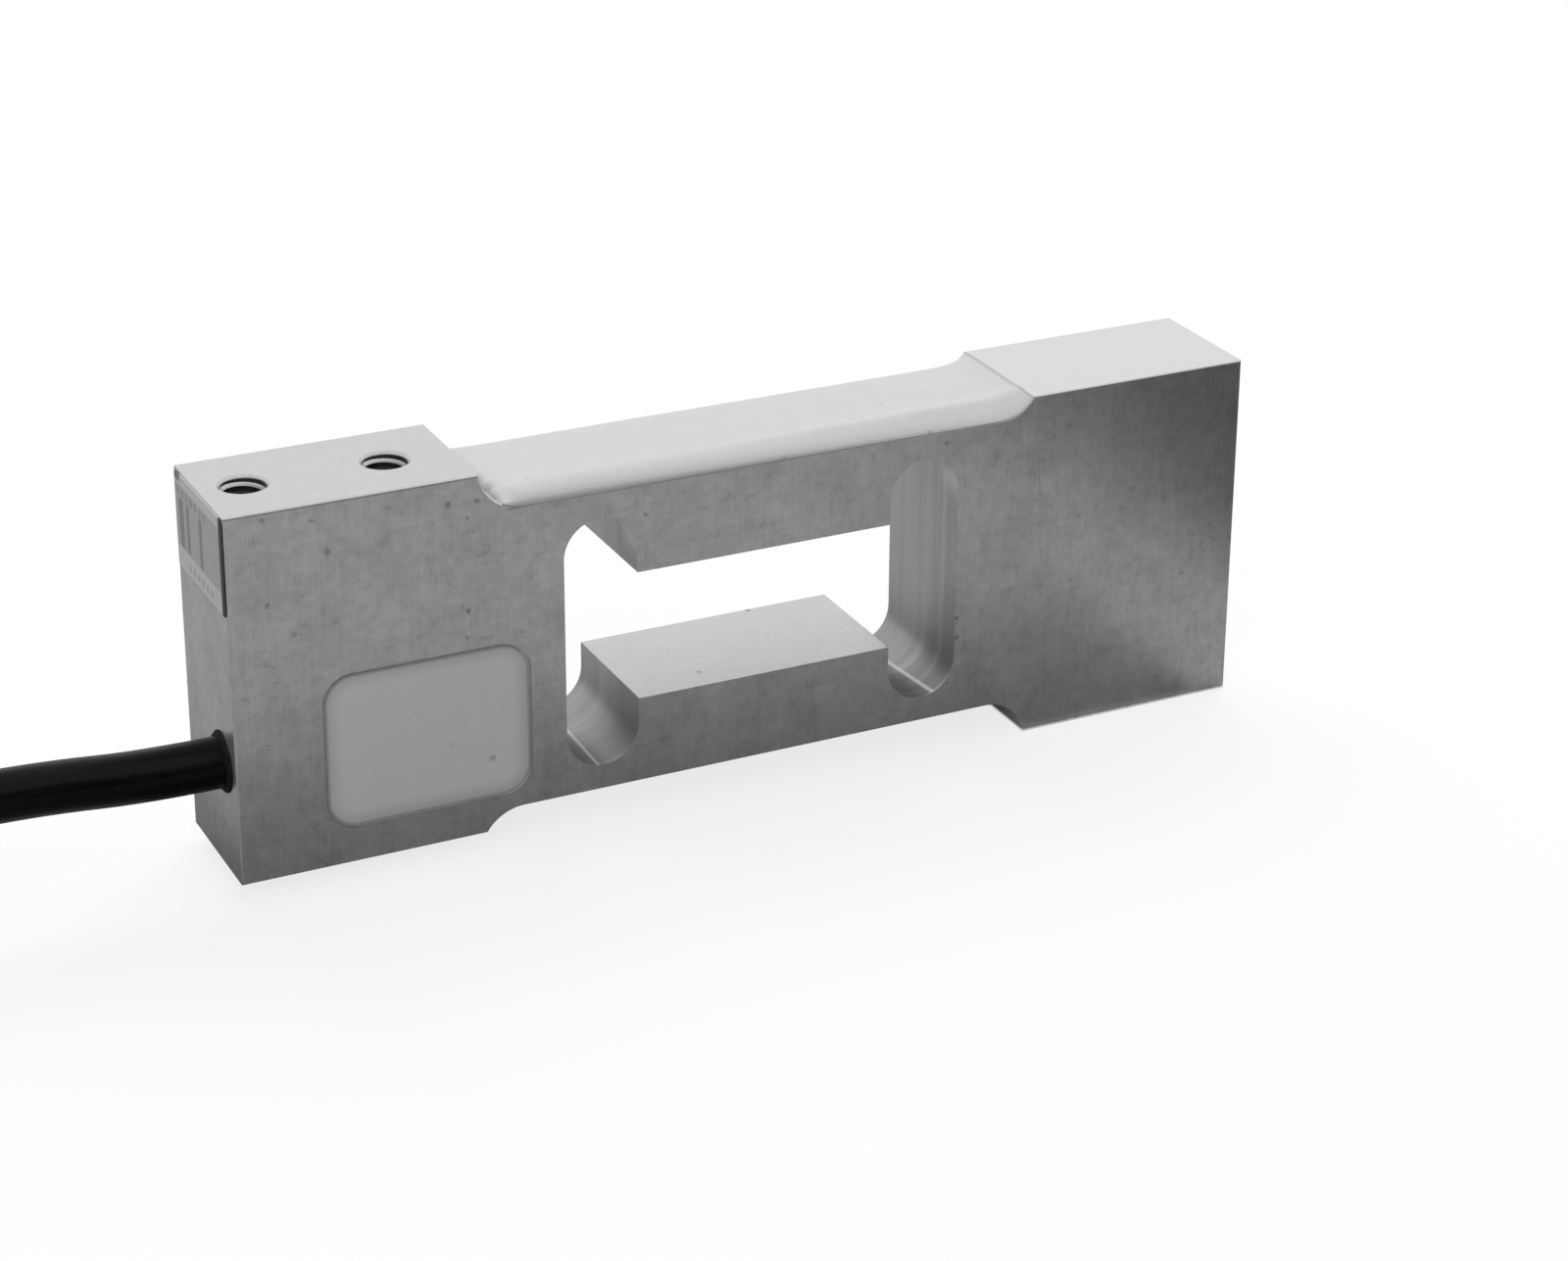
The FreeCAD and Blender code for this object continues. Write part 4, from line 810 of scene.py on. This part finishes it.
# Without a seed, noise_vector takes one from the clock and each run squeezes the rubber differently.
noise.seed_set(1)
for v in bead.verts:
    if v.co.x < -75.01:
        v.co += noise.noise_vector(v.co * 1.4) * 0.11
bmesh.ops.scale(bead, verts=bead.verts, vec=(MM, MM, MM))
collar_bead = finished_piece("collar_bead", bead)
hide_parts("cable_seal")

# %% Jacket and collar
jacket_tones = ((0.0006, 0.0006, 0.0006), (0.0018, 0.0018, 0.0018))
die_lines = {"scale": 1.6, "depth": 0.02, "stretch": (0.2, 1, 1), "roughness": (0.24, 0.34)}
jacket = mottled("black_jacket_finish", *jacket_tones, **die_lines, Specular_IOR_Level=0.13)
cable.data.materials.append(jacket.material)
wear(["cable_root"], jacket)
collar = Finish("collar_rubber_finish", Specular_IOR_Level=0.2)
rubber_grain = collar.grain(5.0, detail=2.0)
# Painted glints: bright dots on the black rubber that stand in for tiny reflections.
painted_glints = rubber_grain.step(0.66, 0.72)
collar.set("Base Color", collar.blend(painted_glints, (0.004, 0.004, 0.004), (0.16, 0.16, 0.16)))
collar.set("Roughness", 0.75 - painted_glints * 0.3)
collar.relief(rubber_grain, 0.05)
collar_bead.data.materials.append(collar.material)

# %% Sleeve and ties
tube_tones = ((0.004, 0.004, 0.004), (0.009, 0.009, 0.009))
wrinkles = {"scale": 0.9, "depth": 0.09, "stretch": (0.4, 1, 1), "roughness": (0.3, 0.45)}
wear(["shrink_sleeve"], mottled("shrink_tube_finish", *tube_tones, **wrinkles, Specular_IOR_Level=0.4))
nylon_tones = ((0.006, 0.006, 0.006), (0.014, 0.014, 0.014))
ribs = {"scale": 2.2, "depth": 0.02, "stretch": (1, 1, 0.3), "roughness": (0.35, 0.5)}
wear(["hank_tie_near", "hank_tie_far"], mottled("tie_nylon_finish", *nylon_tones, **ribs))

# %% Leads with tinned tips
lead_colours = {"flying_lead_red": (0.42, 0.008, 0.006), "flying_lead_black": (0.006, 0.006, 0.006),
                "flying_lead_green": (0.006, 0.16, 0.035), "flying_lead_white": (0.72, 0.72, 0.70),
                "shield_drain_wire": (0.50, 0.49, 0.47)}
for name, colour in lead_colours.items():
    lead = Finish(name + "_finish")
    lay = lead.grain(2.5, (0.3, 1, 1))
    from_sleeve = {0: lead.place, 1: tuple(sleeve_tip)}
    out = lead.add("ShaderNodeVectorMath", 0, {"operation": "SUBTRACT"}, from_sleeve)
    out = lead.add("ShaderNodeVectorMath", 1, {"operation": "DOT_PRODUCT"}, {0: out, 1: tuple(heading)})
    tinned = out.step(25.6, 25.9) if name != "shield_drain_wire" else out.step(-100, -99)
    shade = lead.blend(lay, tuple(c * 0.8 for c in colour), tuple(min(c * 1.2, 0.9) for c in colour))
    lead.set("Base Color", lead.blend(tinned, shade, (0.62, 0.62, 0.60)))
    lead.set("Metallic", tinned * 0.9)
    lead.set("Roughness", lay * 0.2 + 0.3)
    lead.relief(lay, 0.02)
    leads[name].data.materials.append(lead.material)
print("finishes for", len(lead_colours), "leads")

# %% [markdown]
# ## Inside the block
# The pieces under the silicone and in the pocket show in no photograph of a closed cell, and get what such
# pieces have: a green laminate, ceramic resistors with metal caps, a foil grid on its brown carrier, soldered
# terminals, a brass sleeve, enamelled wire and the four cores.

# %% Foil grids
foil = Finish("gauge_foil_finish")
backing = foil.grain(1.5)
across_grid = band(abs(foil.y), -1, 2.2)
along_grid = band(abs(abs(foil.x) - 24.15), -1, 3.3)
loops = band((foil.y * 2).maths("FRACT", foil.y * 2), 0.3, 0.8) * across_grid * along_grid
carrier = foil.blend(backing, (0.32, 0.15, 0.04), (0.45, 0.22, 0.07))
foil.set("Base Color", foil.blend(loops, carrier, (0.55, 0.50, 0.44)))
foil.set("Metallic", loops * 0.9)
foil.set("Roughness", backing * 0.2 + 0.3)
foil.relief(loops, 0.01)
ends = ("top_cable_end", "top_far_end", "bottom_cable_end", "bottom_far_end")
wear(["strain_gauge_" + end for end in ends], foil)

# %% Resistors
resistor = Finish("resistor_finish")
ceramic = resistor.grain(3.0)
caps = abs(resistor.x + 47.4).step(1.05, 1.15)
body = resistor.blend(ceramic, (0.02, 0.02, 0.022), (0.05, 0.05, 0.055))
resistor.set("Base Color", resistor.blend(caps, body, (0.62, 0.61, 0.58)))
resistor.set("Metallic", caps * 0.9)
resistor.set("Roughness", ceramic * 0.3 + 0.3)
resistor.relief(ceramic, 0.02)
wear(["zero_balance_resistor", "span_resistor", "modulus_resistor"], resistor)

# %% Board, solder, brass and enamel
laminate = mottled("board_laminate_finish", (0.012, 0.10, 0.035), (0.02, 0.15, 0.05), 2.0, 0.02)
wear(["compensation_board"], laminate)
solder = mottled("solder_finish", (0.52, 0.30, 0.18), (0.70, 0.68, 0.62), 1.2, 0.05, Metallic=0.9)
wear(["solder_terminal_" + end for end in ends], solder)
brass = mottled("crimp_brass_finish", (0.55, 0.38, 0.14), (0.75, 0.56, 0.26), 1.5, 0.02, Metallic=0.9)
wear(["cable_crimp"], brass)
enamel_tones = ((0.30, 0.08, 0.02), (0.45, 0.15, 0.04))
enamel = mottled("lead_enamel_finish", *enamel_tones, 4.0, 0.01, roughness=(0.2, 0.35))
wear(["gauge_lead_" + end for end in ends], enamel)

# %% The four cores
core_colours = ("red", "black", "green", "white")
for core in core_colours:
    colour = lead_colours["flying_lead_" + core]
    dark = tuple(c * 0.8 for c in colour)
    wear(["core_" + core + "_inside"], mottled("core_" + core + "_finish", dark, colour, 2.5, 0.02))
for name in ("flying_lead_" + core for core in core_colours):
    solids[name].material_slots[0].material = leads[name].data.materials[0]
